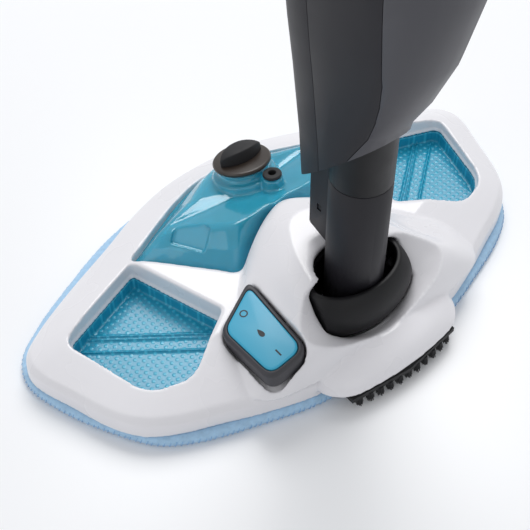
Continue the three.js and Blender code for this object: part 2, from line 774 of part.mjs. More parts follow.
function tankOutlet() {
  const stem = outletBore - fitGap / 2;
  const form = [[0, tankFloor - 8], [stem - 1, tankFloor - 8], [stem, tankFloor - 5], [stem, tankFloor + 3.5],
    [0, tankFloor + 3.5]];
  return piece('tank_outlet_valve', solid(turned(form, smallSides).translate(0, outletY, 0)), 'brass');
}

// ---------------------------------------------------------------- detergent pedal

function pedalPieces() {
  const top = pedalTop - pedalPinZ;
  const foot = pedalFoot - pedalPinZ;
  const body = solid(loft([
    atHeight(offsetOutline(pedalOutline, -1), foot),
    atHeight(pedalOutline, foot + 2),
    atHeight(pedalOutline, top - 2),
    atHeight(offsetOutline(pedalOutline, -0.8), top - 0.6),
    atHeight(offsetOutline(pedalOutline, -2), top),
  ]));
  const drawnIn = (distance) => roundedOutline(insetCorners(pedalCorners, distance));
  const seat = solid(prism(drawnIn(pedalRim), top - 1.6, wide));
  const under = solid(prism(drawnIn(2.6), foot - past, top - 4));
  const hub = solid(alongX(drum(5, -12, 12, smallSides)));
  const pinBore = solid(alongX(drum(pedalPinRadius + fitGap / 2, -pedalPinInside - fitGap, wide, pinSides)));
  const pedal = cut(join(cut(body, under), hub.intersect(solid(prism(pedalOutline, foot, top - 3)))),
    seat, pinBore);
  placed(piece('detergent_pedal', pedal, 'pedalGrey'), pedalX, pedalY, pedalPinZ, 0, pedalLean);

  const insert = solid(loft([
    atHeight(drawnIn(pedalRim + fitGap), top - 1.6 + fitGap),
    atHeight(drawnIn(pedalRim + fitGap), top + 0.4),
    atHeight(drawnIn(pedalRim + fitGap + 0.8), top + 0.9),
  ]));
  placed(piece('pedal_insert', insert, 'insertBlue'), pedalX, pedalY, pedalPinZ, 0, pedalLean);

  const pin = solid(alongX(drum(pedalPinRadius, -pedalPinInside, pedalPinReach, pinSides)));
  placed(piece('pedal_pin', pin, 'steel'), pedalX, pedalY, pedalPinZ, 0, pedalLean);
}

// ---------------------------------------------------------------- brush

function brush() {
  const stripHalf = [[0, brushY - brushBow / 2], [38, brushY + brushBow / 2 - 0.5],
    [38, brushY + brushBow / 2 + brushDepth - 0.5], [0, brushY + brushDepth - brushBow / 2]];
  const foot = brushTop - fitGap - brushStripThickness - 1;
  const outline = counterClockwise(mirrored(stripHalf).map(([x, y]) => new THREE.Vector2(x, y)));
  const strip = solid(prism(outline, foot, brushTop - past - fitGap));
  const tufts = [];
  for (let i = 0; i < tuftCount; i += 1) {
    const x = (i - (tuftCount - 1) / 2) * tuftPitch;
    const bow = brushBow * (x / 38) ** 2 - brushBow / 2;
    for (const row of [0, 1]) {
      const tuft = turned([[0, tuftFoot], [tuftRadius, tuftFoot], [tuftRadius * 0.8, foot + past],
        [0, foot + past]], 7);
      tufts.push(solid(tuft.translate(x + row * tuftPitch / 4,
        brushY + bow + tuftRadius + 0.2 + row * 4.4, 0)));
    }
  }
  return piece('brush_strip', join(strip, ...tufts), 'rubberBlack');
}

// ---------------------------------------------------------------- neck

function yokeForm() {
  return solid(alongX(yokeTurned(0)));
}

function neckYoke() {
  const rim = yokeRim - pivotHeight;
  const above = solid(block(0, 0, rim + wide / 2, wide, wide, wide));
  const slot = solid(drum(1, -wide, wide, 32).scale(yokeSlotX, yokeSlotY, 1));
  const trunnionBores = solid(alongX(drum(trunnionRadius + fitGap / 2, -wide, wide, pinSides)));
  const crossBore = solid(alongY(drum(tubePinRadius + fitGap / 2, -tubePinHalf - fitGap, wide, pinSides)));
  const yoke = cut(yokeForm(), above, slot, trunnionBores, crossBore);
  return placed(piece('neck_yoke', yoke, 'jointBlack'), 0, 0, pivotHeight);
}

function yokePins() {
  const inner = yokeSlotX + 0.6;
  [['left', -1], ['right', 1]].forEach(([name, side]) => {
    const length = yokeHalfWidth - inner + runGap + bearingThickness;
    const pin = solid(alongX(drum(trunnionRadius, 0, length, pinSides)));
    placed(piece(`yoke_pin_${name}`, pin, 'steel'), side > 0 ? inner : -inner - length, 0, pivotHeight);
  });
}

function pivotBearings() {
  const bore = trunnionRadius + fitGap / 2;
  const foot = steamPlateTop + fitGap - pivotHeight;
  [['left', -1], ['right', 1]].forEach(([name, side]) => {
    const post = solid(block(0, 0, foot / 2, bearingThickness, bearingWidth, -foot));
    const eye = solid(alongX(drum(bearingRadius, -bearingThickness / 2, bearingThickness / 2, 20)));
    const hole = solid(alongX(drum(bore, -wide, wide, pinSides)));
    const middle = side * (yokeHalfWidth + runGap + bearingThickness / 2);
    placed(piece(`pivot_bearing_${name}`, cut(join(post, eye), hole), 'hoseWhite'), middle, 0, pivotHeight);
  });
}

function tubePin() {
  const pin = solid(alongY(drum(tubePinRadius, -tubePinHalf, tubePinHalf, pinSides)));
  return placed(piece('tube_pin', pin, 'steel'), 0, 0, pivotHeight);
}

function neckTube() {
  const shaft = solid(turned([[0, tubeFoot], [tubeRadius - 1.5, tubeFoot], [tubeRadius, tubeFoot + 1.5],
    [tubeRadius, tubeSeam], [0, tubeSeam]], 32));
  const side = new THREE.Shape([
    new THREE.Vector2(0, finFoot - 3), new THREE.Vector2(tubeRadius, finFoot - 3),
    new THREE.Vector2(finReach, finFoot + 2), new THREE.Vector2(finReach, tubeSeam), new THREE.Vector2(0,
      tubeSeam),
  ]);
  const plate = new THREE.ExtrudeGeometry(side, { depth: finThickness, bevelEnabled: false });
  plate.rotateX(Math.PI / 2).rotateZ(Math.PI / 2).translate(finThickness / 2, 0, 0);
  plate.computeBoundingBox();
  const fin = solid(plate.translate(-(plate.boundingBox.max.x + plate.boundingBox.min.x) / 2, 0, 0));
  const bore = solid(drum(tubeRadius - tubeWall, tubeFoot - past, tubeSeam + past, 24));
  const pinBore = solid(alongY(drum(tubePinRadius + fitGap / 2, -wide, wide, pinSides)).translate(0, 0,
    pivotHeight));
  const catchHole = solid(block(0, finReach - 8, 82, wide / 4, 3.2, 4.4));
  return piece('neck_tube', cut(join(shaft, fin), bore, pinBore, catchHole), 'bodyGrey');
}

function neckCatch() {
  const bar = solid(block(0, 0, 0, finThickness - 1, 2.6, 3.8));
  return placed(piece('neck_catch', bar, 'rubberBlack'), 0, finReach - 8, 82);
}

function neckHose() {
  const x = tubeRadius - tubeWall - hoseRadius - 1.2;
  return piece('neck_steam_hose', solid(tube([[x, 0, tubeFoot + 2], [x, 0, 70], [x, 0, 150], [4, 0,
    210]], hoseRadius)),
    'hoseWhite');
}

function headHose() {
  const start = steamPlateTop + 2.4;
  return piece('head_steam_hose', solid(tube([[0, nozzleY, start + 3.6], [0, nozzleY - 4, start + 5.4],
    [0, 31, start + 3.5],
    [0, 27.6, start + 2]], 2.2, 8, 10)), 'hoseWhite');
}

function steamNozzle() {
  const foot = coverEdge + 0.6;
  const form = [[0, foot], [nozzleRadius, foot], [nozzleRadius, steamPlateTop + fitGap],
    [nozzleRadius + 2, steamPlateTop + fitGap], [nozzleRadius + 2, steamPlateTop + 2], [3,
      steamPlateTop + 2.2],
    [3, steamPlateTop + 3], [0, steamPlateTop + 3]];
  return placed(piece('steam_nozzle', solid(turned(form, smallSides)), 'brass'), 0, nozzleY, 0);
}

// ---------------------------------------------------------------- body

function bodySection([z, front, rear, half], inset) {
  const points = [];
  const bulge = 0.86;
  for (let i = 0; i < sectionSteps; i += 1) {
    const angle = (i / sectionSteps) * Math.PI * 2;
    const across = Math.cos(angle);
    const along = Math.sin(angle);
    const reach = (along > 0 ? front : -rear) + (along > 0 ? -frontSeamY : frontSeamY) - inset;
    const x = (half - inset) * Math.sign(across) * Math.abs(across) ** bulge;
    const y = frontSeamY + reach * Math.sign(along) * Math.abs(along) ** bulge;
    points.push(new THREE.Vector3(x, y, z));
  }
  return points;
}

function bodyForm(inset) {
  const levels = bodyLevels.map((level) => bodySection(level, inset));
  if (inset > 0) {
    levels.shift();
    levels.unshift(bodySection([bodyLevels[0][0] - past, ...bodyLevels[0].slice(1)], inset));
    levels.pop();
    levels.push(bodySection([bodyTop - inset, ...bodyLevels[bodyLevels.length - 1].slice(1)], inset));
  }
  return solid(loft(levels));
}

// Everything below the slanting lower edge of the body.
function underBody() {
  const slab = block(0, 0, -wide / 2, wide, wide, wide);
  return solid(slab.rotateX(-Math.PI / 4).translate(0, 0, bodyEdgeZ));
}

function behindSeam(gap) {
  const route = rearSeam.map(([y, z]) => new THREE.Vector2(y - gap, z));
  const points = [...route, new THREE.Vector2(-wide / 2, 600), new THREE.Vector2(-wide / 2, 100),
    new THREE.Vector2(rearSeam[0][0] - gap + 6, 100)];
  const shape = new THREE.Shape(counterClockwise(points));
  const slab = new THREE.ExtrudeGeometry(shape, { depth: wide, bevelEnabled: false });
  return solid(slab.translate(0, 0, -wide / 2).rotateX(Math.PI / 2).rotateZ(Math.PI / 2));
}

const frontHalf = () => solid(block(0, frontSeamY + wide / 2, 300, wide, wide, 2 * wide));
const waterTankSpan = (gap) => {
  const tall = waterTankTop - waterTankFoot + 2 * gap;
  const middle = (waterTankTop + waterTankFoot) / 2;
  return solid(block(0, frontSeamY + wide / 2 - gap, middle, wide, wide, tall));
};

const handleTubeHole = () => solid(drum(handleRadius + handleSocketWall + fitGap, 500, 600));
const tubeHole = () => solid(drum(tubeRadius + fitGap, 60, socketTop));
const finHole = () => solid(block(0, tubeRadius, 110, finThickness + 2 * fitGap,
  2 * (finReach - tubeRadius + fitGap), 60));

function bodyPanels() {
  const shell = cut(bodyForm(0), bodyForm(bodyWall), underBody(), handleTubeHole(), tubeHole());
  const behind = behindSeam(0);
  const clearOfRear = behindSeam(-fitGap);
  const front = frontHalf();
  const clearOfFront = solid(block(0, frontSeamY - fitGap + wide / 2, 300, wide, wide, 2 * wide));
  const dialHole = solid(alongY(drum(dialStem + fitGap, -wide, wide, smallSides)).applyMatrix4(dialPlace));
  const lensHole = solid(alongY(drum(lensRadius + fitGap / 2, 0, wide, lensSides)).translate(0, 0, lensZ));
  const latchHole = solid(block(0, wide / 2, latchZ, latchWidth + 2 * fitGap, wide,
    latchHeight + 2 * fitGap));
  const frontShell = cut(shell.intersect(front), waterTankSpan(fitGap), finHole());
  const lower = solid(block(0, 0, waterTankFoot / 2, wide, wide, waterTankFoot));
  piece('body_front_lower', frontShell.intersect(lower), 'bodyGrey');
  piece('body_front_upper', cut(frontShell, lower, dialHole, lensHole, latchHole), 'bodyGrey');
  const sides = cut(shell, clearOfRear, clearOfFront);
  const left = solid(block(-wide / 2 - fitGap / 2, 0, 300, wide, wide, 2 * wide));
  const right = solid(block(wide / 2 + fitGap / 2, 0, 300, wide, wide, 2 * wide));
  piece('body_left_panel', sides.intersect(left), 'bodyGrey');
  piece('body_right_panel', sides.intersect(right), 'bodyGrey');
  const glandHole = solid(alongY(drum(glandRadius + fitGap / 2, -wide, 0, lensSides)).translate(0, 0,
    glandZ));
  piece('body_rear_cover', cut(shell.intersect(behind), glandHole), 'rearGrey');
}

const dialLean = Math.atan((sectionFront(480) - sectionFront(530)) / 50);
const dialPlace = new THREE.Matrix4().makeTranslation(0, sectionFront(dialZ), dialZ)
  .multiply(new THREE.Matrix4().makeRotationX(dialLean));

function sectionAt(z, inset) {
  const upper = bodyLevels.findIndex((level) => level[0] >= z);
  const [below, above] = [bodyLevels[upper - 1], bodyLevels[upper]];
  const share = (z - below[0]) / (above[0] - below[0]);
  const mixed = below.map((value, i) => value + (above[i] - value) * share);
  return bodySection([z, ...mixed.slice(1)], inset);
}

function bodyRib(z) {
  const inset = bodyWall + fitGap + 0.4;
  const low = sectionAt(z, inset).map((p) => new THREE.Vector3(p.x, p.y, z));
  const high = sectionAt(z + frameRib, inset).map((p) => new THREE.Vector3(p.x, p.y, z + frameRib));
  return solid(loft([low, high]));
}

function bodyFrame() {
  const bore = tubeRadius - tubeWall;
  const socket = cut(
    solid(drum(tubeRadius, tubeSeam + fitGap, socketTop, 32)),
    solid(drum(bore, tubeSeam - past, socketTop + past, 24)),
  );
  const lowerRib = cut(bodyRib(socketTop - frameRib), solid(drum(bore, 0, wide, 24)));
  const spine = solid(block(0, spineY, (socketTop + handleFoot) / 2, spineWidth, spineDepth,
    handleFoot - socketTop + 2));
  const upperRib = bodyRib(upperRibZ);
  const seat = solid(drum(handleRadius + handleSocketWall, upperRibZ, handleSocketTop, roundSides));
  const seatBore = solid(drum(handleRadius + fitGap / 2, handleFoot - fitGap, wide * 2, roundSides));
  const screwBoreY = solid(alongY(drum(1.7, -wide, wide, 10)).translate(0, 0, handleScrewZ));
  const tankKeep = waterTankSpan(-waterTankBack + frontSeamY + 2);
  return piece('body_frame', cut(join(socket, lowerRib, spine, upperRib, seat), seatBore, screwBoreY,
    tankKeep),
    'jointBlack');
}


function waterTank() {
  const outer = bodyForm(0).intersect(waterTankSpan(0));
  const back = solid(block(0, waterTankBack - wide / 2, 300, wide, wide, 2 * wide));
  const body = cut(outer, back);
  const inner = cut(bodyForm(waterTankWall), solid(block(0, waterTankBack + waterTankWall - wide / 2,
    300, wide, wide, 2 * wide)))
    .intersect(solid(block(0, 0, (waterTankFoot + waterTankTop - 10) / 2, wide, wide,
      waterTankTop - 10 - waterTankFoot - 2 * waterTankWall)));
  const neckY = 26;
  const recess = solid(drum(waterNeckRadius + 5, waterTankTop - 8, wide * 2, 24).translate(0, neckY, 0));
  const hole = solid(drum(waterNeckBore, waterTankTop - 30, wide * 2, 20).translate(0, neckY, 0));
  const outlet = solid(drum(waterValveBore, waterTankFoot - past, waterTankFoot + 20,
    smallSides).translate(0, neckY, 0));
  piece('water_tank', cut(body, inner, recess, hole, outlet), 'smokedClear');

  const capFoot = waterTankTop - 8 + fitGap;
  const cap = solid(turned([[0, -6], [waterNeckBore - fitGap, -6], [waterNeckBore - fitGap, 0],
    [waterNeckRadius + 3, 0], [waterNeckRadius + 3, 4.5], [waterNeckRadius + 2, 5.5], [0, 5.5]], 24));
  const bar = cut(cap, solid(block(0, 9, 4.5, 60, 12, 4)), solid(block(0, -9, 4.5, 60, 12, 4)));
  placed(piece('water_tank_cap', bar, 'jointBlack'), 0, neckY, capFoot);

  const stem = waterValveBore - fitGap / 2;
  const valve = solid(turned([[0, 0], [stem - 1, 0], [stem, 1], [stem, 6], [stem - 1.5, 7], [0, 7]],
    smallSides));
  placed(piece('water_tank_valve', valve, 'rubberBlack'), 0, neckY, waterTankFoot);
}


function tankLatch() {
  const y = 41;
  const button = solid(block(0, 0, 0, latchWidth, 7, latchHeight));
  const lip = solid(block(0, -4.5, 0, latchWidth + 4, 2, latchHeight + 3));
  placed(piece('tank_latch', join(button, lip), 'insertBlue'), 0, y - 4, latchZ);
}

function boilerAndPump() {
  const end = boilerLength;
  const boiler = solid(turned([[0, 0], [boilerRadius - 4, 0], [boilerRadius, 4], [boilerRadius, end - 4],
    [boilerRadius - 4, end], [4, end], [4, end + 5], [0, end + 5]], 24));
  placed(piece('boiler', boiler, 'aluminium'), 0, boilerY, boilerFoot);
  const pumpBody = solid(drum(pumpRadius, 0, pumpLength, 20));
  const neck = solid(drum(4, -5, pumpLength + 6, 12));
  placed(piece('water_pump', join(pumpBody, neck), 'hookGrey'), 0, boilerY, pumpFoot);
  const link = [[0, boilerY, boilerFoot + end + 5 + fitGap], [0, boilerY, boilerFoot + end + 14],
    [0, boilerY, pumpFoot - 5 - fitGap]];
  piece('boiler_feed_hose', solid(tube(link, hoseRadius, 8, 4)), 'hoseWhite');
  const steam = [[8, boilerY, boilerFoot - past], [8, boilerY + 2, boilerFoot - 12], [7, -12, 247], [6,
    -2, 240.5]];
  piece('boiler_steam_hose', solid(tube(steam, hoseRadius, 8, 10)), 'hoseWhite');
}

function dialAndLens() {
  const knob = solid(alongY(turned([[0, -8], [dialStem, -8], [dialStem, 1], [dialRadius, 1],
    [dialRadius, dialHeight - 1.5], [dialRadius - 1.5, dialHeight], [0, dialHeight]], 24)));
  const pointer = solid(block(0, dialHeight - 0.3, dialRadius * 0.55, 1.8, 1.6, dialRadius * 0.7));
  placed(piece('steam_dial', join(knob, pointer), 'jointBlack'), 0, sectionFront(dialZ), dialZ, dialLean);
  const lens = solid(alongY(turned([[0, -5], [lensRadius, -5], [lensRadius, 0.6], [lensRadius - 1.5, 1.6],
    [0, 2]], lensSides)));
  placed(piece('indicator_lens', lens, 'insertBlue'), 0, sectionFront(lensZ), lensZ);
}

function sectionFront(z) {
  return Math.max(...sectionAt(z, 0).map((p) => p.y));
}

function rearFaceY(z) {
  return Math.min(...sectionAt(z, 0).map((p) => p.y));
}

function cordGland() {
  const face = rearFaceY(glandZ);
  const form = [[0, -8], [glandRadius + 2.5, -8], [glandRadius + 2.5, -bodyWall - fitGap - 1],
    [glandRadius, -bodyWall - fitGap - 1],
    [glandRadius, 1], [glandRadius + 2.5, 1], [glandRadius + 2.5, 3], [glandRadius, 4.5], [3.5, 4.5],
      [3.5, -5], [0, -5]];
  const gland = solid(alongY(turned(form, 16)).rotateZ(Math.PI));
  placed(piece('cord_gland', gland, 'rubberBlack'), 0, face, glandZ);
}

// ---------------------------------------------------------------- handle

function handleTube() {
  const shaft = solid(ring(handleRadius - handleWall, handleRadius, handleFoot, gripFoot + 60, roundSides));
  const screwHole = solid(alongY(drum(1.7, -wide, wide, 10)).translate(0, 0, handleScrewZ));
  return piece('handle_tube', cut(shaft, screwHole), 'bodyGrey');
}

function handleScrew() {
  const face = handleRadius + handleSocketWall;
  const screw = solid(alongY(turned([[0, -face - 1], [1.45, -face - 1], [1.45, face + fitGap / 2], [3,
    face + fitGap / 2],
    [3, face + 1.6], [0, face + 1.9]], 12)));
  placed(piece('handle_screw', screw, 'steel'), 0, 0, handleScrewZ);
}

function gripCentre(share) {
  return -gripLeanBack * share * share;
}

function gripForm(inset) {
  const rings = [];
  const levels = [0, 0.08, 0.2, 0.35, 0.5, 0.65, 0.8, 0.9, 0.96, 1];
  const swell = [0.92, 1, 1, 0.98, 0.96, 1, 1.06, 1.04, 0.86, 0.5];
  levels.forEach((share, i) => {
    const isLast = i === levels.length - 1;
    const z = gripFoot + (gripTop - gripFoot) * share - (isLast ? inset : 0) + (i === 0 ? (inset > 0 ? inset : 0) : 0);
    const points = [];
    for (let k = 0; k < 24; k += 1) {
      const angle = (k / 24) * Math.PI * 2;
      const x = (gripHalfWidth * swell[i] - inset) * Math.cos(angle);
      const y = gripCentre(share) + (gripHalfDepth * swell[i] - inset) * Math.sin(angle);
      points.push(new THREE.Vector3(x, y, z));
    }
    rings.push(points);
  });
  return solid(loft(rings));
}

function gripHalves() {
  const collarWall = solid(drum(handleRadius + 3, gripFoot, gripFoot + 60 + gripWall,
    roundSides)).intersect(gripForm(0));
  const tubeBore = solid(drum(handleRadius + fitGap, 0, gripFoot + 60 + fitGap, roundSides));
  const shell = cut(join(cut(gripForm(0), gripForm(gripWall)), collarWall), tubeBore);
  const triggerHole = solid(block(0, wide / 2 - 12, triggerZ, triggerWidth + 1.2, wide, triggerHeight + 1.2));
  const pinBore = solid(alongX(drum(triggerPinRadius + fitGap / 2, -wide, wide, 12))
    .translate(0, triggerPinY, triggerPinZ));
  const lug = solid(alongX(drum(4.5, -wide, wide, 14)).translate(0, triggerPinY,
    triggerPinZ)).intersect(gripForm(0));
  const body = cut(join(shell, lug), triggerHole, pinBore);
  const keepLeft = solid(block(-wide / 2 - fitGap / 2, 0, 1000, wide, wide, wide));
  const keepRight = solid(block(wide / 2 + fitGap / 2, 0, 1000, wide, wide, wide));
  piece('grip_left', body.intersect(keepLeft), 'bodyGrey');
  piece('grip_right', body.intersect(keepRight), 'bodyGrey');
}


function triggerPieces() {
  const low = -triggerHeight / 2 - 18 + 0.6;
  const side = new THREE.Shape([
    new THREE.Vector2(-3.4, 3.4), new THREE.Vector2(3, 4), new THREE.Vector2(13, 3),
      new THREE.Vector2(19, -6),
    new THREE.Vector2(22, -18), new THREE.Vector2(24, -34), new THREE.Vector2(21, low + 1),
    new THREE.Vector2(8, low + 1), new THREE.Vector2(6, low + 6), new THREE.Vector2(10, -20),
    new THREE.Vector2(3, -5), new THREE.Vector2(-3.4, -3.4),
  ]);
  const form = new THREE.ExtrudeGeometry(side, { depth: triggerWidth, bevelEnabled: false });
  form.translate(0, 0, -triggerWidth / 2).rotateX(Math.PI / 2).rotateZ(Math.PI / 2);
  const bore = solid(alongX(drum(triggerPinRadius + fitGap / 2, -wide, wide, 12)));
  placed(piece('trigger', cut(solid(form), bore), 'insertBlue'), 0, triggerPinY, triggerPinZ);
  const reach = gripHalfWidth - gripWall - 1.5;
  const pin = solid(alongX(drum(triggerPinRadius, -reach, reach, 12)));
  placed(piece('trigger_pin', pin, 'steel'), 0, triggerPinY, triggerPinZ);
}

function cordHook(name, z) {
  const inner = handleRadius + fitGap;
  const collar = solid(ring(inner, inner + 3, -9, 9, roundSides));
  const arm = solid(block(0, -inner - 8, 0, hookPost + 2, 16, hookPost));
  const bar = solid(block(0, -inner - 17, 0, hookPost + 2, 5, hookSpan));
  const lips = [-1, 1].map((side) => (
    solid(block(0, -inner - 12.5, side * (hookSpan / 2 - 2.5), hookPost + 2, 9, 5))
  ));
  const clear = solid(drum(inner, -wide, wide, roundSides));
  return placed(piece(name, cut(join(collar, arm, bar, ...lips), clear), 'jointBlack'), 0, 0, z);
}

// ---------------------------------------------------------------- assembly

headCover();
steamPlate();
hookStrips();
mopCloth();
baseScrews();
windowTrays();
detergentTank();
tankCapPieces();
tankVent();
tankOutlet();
pedalPieces();
brush();
pivotBearings();
steamNozzle();
headHose();
neckYoke();
yokePins();
tubePin();
neckTube();
neckCatch();
neckHose();
bodyFrame();
bodyPanels();
waterTank();
tankLatch();
boilerAndPump();
dialAndLens();
cordGland();
handleTube();
handleScrew();
gripHalves();
triggerPieces();
cordHook('lower_cord_hook', lowerHookZ);
cordHook('upper_cord_hook', upperHookZ);

const steamMop = new THREE.Group();
steamMop.name = 'steam_mop';
steamMop.add(...pieces);

export default steamMop;
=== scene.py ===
"""The finished look of an upright steam mop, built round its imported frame.

Lengths are in millimetres until a mesh is made, and the mesh is in metres.
"""

import json
import math

import bmesh
import bpy
import numpy as np
from mathutils import Matrix, Vector, noise

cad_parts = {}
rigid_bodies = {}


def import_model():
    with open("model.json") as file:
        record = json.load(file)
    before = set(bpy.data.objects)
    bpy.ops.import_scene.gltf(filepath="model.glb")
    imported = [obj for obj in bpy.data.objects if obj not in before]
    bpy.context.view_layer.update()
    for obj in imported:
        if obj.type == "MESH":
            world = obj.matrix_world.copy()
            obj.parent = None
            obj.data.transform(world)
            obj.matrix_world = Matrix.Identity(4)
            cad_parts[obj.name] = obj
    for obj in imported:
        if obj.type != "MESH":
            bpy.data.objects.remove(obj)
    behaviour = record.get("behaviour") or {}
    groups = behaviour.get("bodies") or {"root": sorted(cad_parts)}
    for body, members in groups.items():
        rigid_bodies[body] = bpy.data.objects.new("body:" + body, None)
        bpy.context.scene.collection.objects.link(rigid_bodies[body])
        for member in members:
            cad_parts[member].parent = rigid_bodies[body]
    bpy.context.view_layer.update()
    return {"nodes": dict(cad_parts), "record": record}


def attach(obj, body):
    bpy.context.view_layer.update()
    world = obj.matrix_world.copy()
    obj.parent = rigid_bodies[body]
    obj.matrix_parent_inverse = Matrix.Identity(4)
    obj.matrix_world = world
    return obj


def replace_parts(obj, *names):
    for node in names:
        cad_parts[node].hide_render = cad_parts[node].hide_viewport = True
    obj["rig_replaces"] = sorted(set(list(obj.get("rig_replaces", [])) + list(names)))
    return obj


bl_info = {
    "name": "Steam mop",
    "version": (1, 0, 0),
    "blender": (4, 5, 0),
    "location": "3D Viewport > Sidebar > Steam mop",
    "description": "Covers, tinted tank, cloth and finishes of an upright steam mop",
    "category": "Add Mesh",
}

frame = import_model()

MM = 0.001
SLOTS = {row["node"]: row["material_slot"] for row in frame["record"]["subparts"]}
BODIES = {node: body for body, nodes in frame["record"]["behaviour"]["bodies"].items() for node in nodes}

# ------------ shaping


def smooth_outline(half, steps):
    """A closed smooth curve through half an outline and its mirror image, as points counter-clockwise."""
    other = [(-x, y) for x, y in half[-2:0:-1]]
    knots = np.array([*half, *other], float)
    count = len(knots)
    made = []
    for place in np.arange(steps) / steps * count:
        i, share = int(place), place % 1
        p = [knots[(i + k) % count] for k in (-1, 0, 1, 2)]
        d = [max(np.linalg.norm(p[k + 1] - p[k]), 1e-6) ** 0.5 for k in range(3)]
        start = ((p[1] - p[0]) / d[0] - (p[2] - p[0]) / (d[0] + d[1]) + (p[2] - p[1]) / d[1]) * d[1]
        end = ((p[2] - p[1]) / d[1] - (p[3] - p[1]) / (d[1] + d[2]) + (p[3] - p[2]) / d[2]) * d[1]
        square = (3 * (p[2] - p[1]) - 2 * start - end) * share**2
        cube = (2 * (p[1] - p[2]) + start + end) * share**3
        made.append(p[1] + start * share + square + cube)
    return counter_clockwise(np.array(made))


def counter_clockwise(points):
    x, y = points[:, 0], points[:, 1]
    area = np.sum(x * np.roll(y, -1) - np.roll(x, -1) * y)
    return points[::-1] if area < 0 else points


def rounded_outline(corners, steps=10):
    """A closed outline of straight sides with each corner (x, y, r) rounded."""
    made = []
    count = len(corners)
    for i, (x, y, r) in enumerate(corners):
        here = np.array((x, y), float)
        arms = [np.array(corners[(i + k) % count][:2], float) - here for k in (-1, 1)]
        start, end = (here + arm / np.linalg.norm(arm) * r for arm in arms)
        for share in np.linspace(0, 1, steps):
            made.append(start * (1 - share) ** 2 + here * 2 * share * (1 - share) + end * share**2)
    return counter_clockwise(np.array(made))


def offset(points, distance):
    """Moves an outline outwards, or inwards where the distance is negative."""
    before = points - np.roll(points, 1, 0)
    after = np.roll(points, -1, 0) - points
    before = before / np.maximum(np.linalg.norm(before, axis=1), 1e-9)[:, None]
    after = after / np.maximum(np.linalg.norm(after, axis=1), 1e-9)[:, None]
    normal = np.stack([(before + after)[:, 1], -(before + after)[:, 0]], 1)
    normal /= np.linalg.norm(normal, axis=1)[:, None]
    reach = np.maximum(normal[:, 0] * after[:, 1] - normal[:, 1] * after[:, 0], 0.5)
    return points + normal * (distance / reach)[:, None]


def drawn_in(corners, distance):
    """The corners of an outline drawn in by a distance, with their rounding made less to match."""
    places = np.array([c[:2] for c in corners], float)
    turned = counter_clockwise(places)
    radii = [c[2] for c in corners]
    if not np.array_equal(turned, places):
        radii = radii[::-1]
    moved = offset(turned, -distance)
    return [(*p, max(1, r - distance / 2)) for p, r in zip(moved, radii)]


def flip(points):
    return counter_clockwise(points * (-1, 1))


def at_height(points, z):
    """An outline as a ring in space, at one height or at the height that z gives for each point."""
    heights = z(points[:, 0], points[:, 1]) if callable(z) else np.full(len(points), z)
    return np.column_stack([points, heights])


def blended(rings, between):
    """Adds smoothly placed rings between those given."""
    made = []
    last = len(rings) - 1
    for i in range(last):
        p = [rings[max(0, i - 1)], rings[i], rings[i + 1], rings[min(last, i + 2)]]
        for share in np.arange(between + 1) / (between + 1):
            square = (2 * p[0] - 5 * p[1] + 4 * p[2] - p[3]) * share**2
            cube = (3 * p[1] - p[0] - 3 * p[2] + p[3]) * share**3
            made.append(0.5 * (2 * p[1] + (p[2] - p[0]) * share + square + cube))
    return [*made, rings[-1]]


def skin(rings, ends=None):
    """A closed form from rings of equally many points, listed from the bottom up."""
    count, levels = len(rings[0]), len(rings)
    ends = ends or (rings[0].mean(0), rings[-1].mean(0))
    points = np.vstack([*rings, *ends])
    low, high = levels * count, levels * count + 1
    faces = []
    for i in range(count):
        j = (i + 1) % count
        for level in range(0, (levels - 1) * count, count):
            faces.append((level + i, level + j, level + j + count, level + i + count))
        faces.append((j, i, low))
        faces.append(((levels - 1) * count + i, (levels - 1) * count + j, high))
    return points, faces


def prism(points, foot, top):
    return skin([at_height(points, foot), at_height(points, top)])


def turned(profile, sides=64):
    """A round form about the Z axis from (radius, height) pairs that start and end on the axis."""
    angles = np.arange(sides) / sides * 2 * math.pi
    rings = [
        np.column_stack([r * np.cos(angles), r * np.sin(angles), np.full(sides, z)])
        for r, z in profile[1:-1]
    ]
    ends = [np.array((0, 0, profile[k][1])) for k in (0, -1)]
    return skin(rings, ends)


def drum(radius, foot, top, sides=64):
    return turned([(0, foot), (radius, foot), (radius, top), (0, top)], sides)


def block(middle, size):
    x, y = size[0] / 2, size[1] / 2
    outline = np.array([(x, y), (-x, y), (-x, -y), (x, -y)])
    return moved(prism(outline, -size[2] / 2, size[2] / 2), at(*middle))


def swept(route, radius, sides):
    """A round form of one radius, or of one radius at each point, along a route."""
    route = np.array(route, float)
    radii = np.broadcast_to(radius, len(route))
    heading = np.gradient(route, axis=0)
    side = np.cross(heading[0], (0.31, 0.87, 0.39))
    rings = []
    for point, way, r in zip(route, heading, radii):
        way = way / np.linalg.norm(way)
        side = side - way * side.dot(way)
        side /= np.linalg.norm(side)
        up = np.cross(way, side)
        angles = np.arange(sides) / sides * 2 * math.pi
        rings.append(point + r * (np.outer(np.cos(angles), side) + np.outer(np.sin(angles), up)))
    return skin(rings)


def at(x, y, z, turn_x=0.0, turn_y=0.0, turn_z=0.0):
    """The matrix that puts a form in its place, in millimetres and radians."""
    return (
        Matrix.Translation((x, y, z))
        @ Matrix.Rotation(turn_x, 4, "X")
        @ Matrix.Rotation(turn_y, 4, "Y")
        @ Matrix.Rotation(turn_z, 4, "Z")
    )


def moved(form, matrix):
    points, faces = form
    m = np.array(matrix)
    return points @ m[:3, :3].T + m[:3, 3], faces


def metres(matrix):
    """A place in millimetres as the matrix for a mesh in metres."""
    made = matrix.copy()
    made.translation = made.translation * MM
    return made


EDGE_ROUND = 0.3
SHARP = 38
ALONG_X = Matrix.Rotation(math.pi / 2, 4, "Y")
ALONG_Y = Matrix.Rotation(-math.pi / 2, 4, "X")


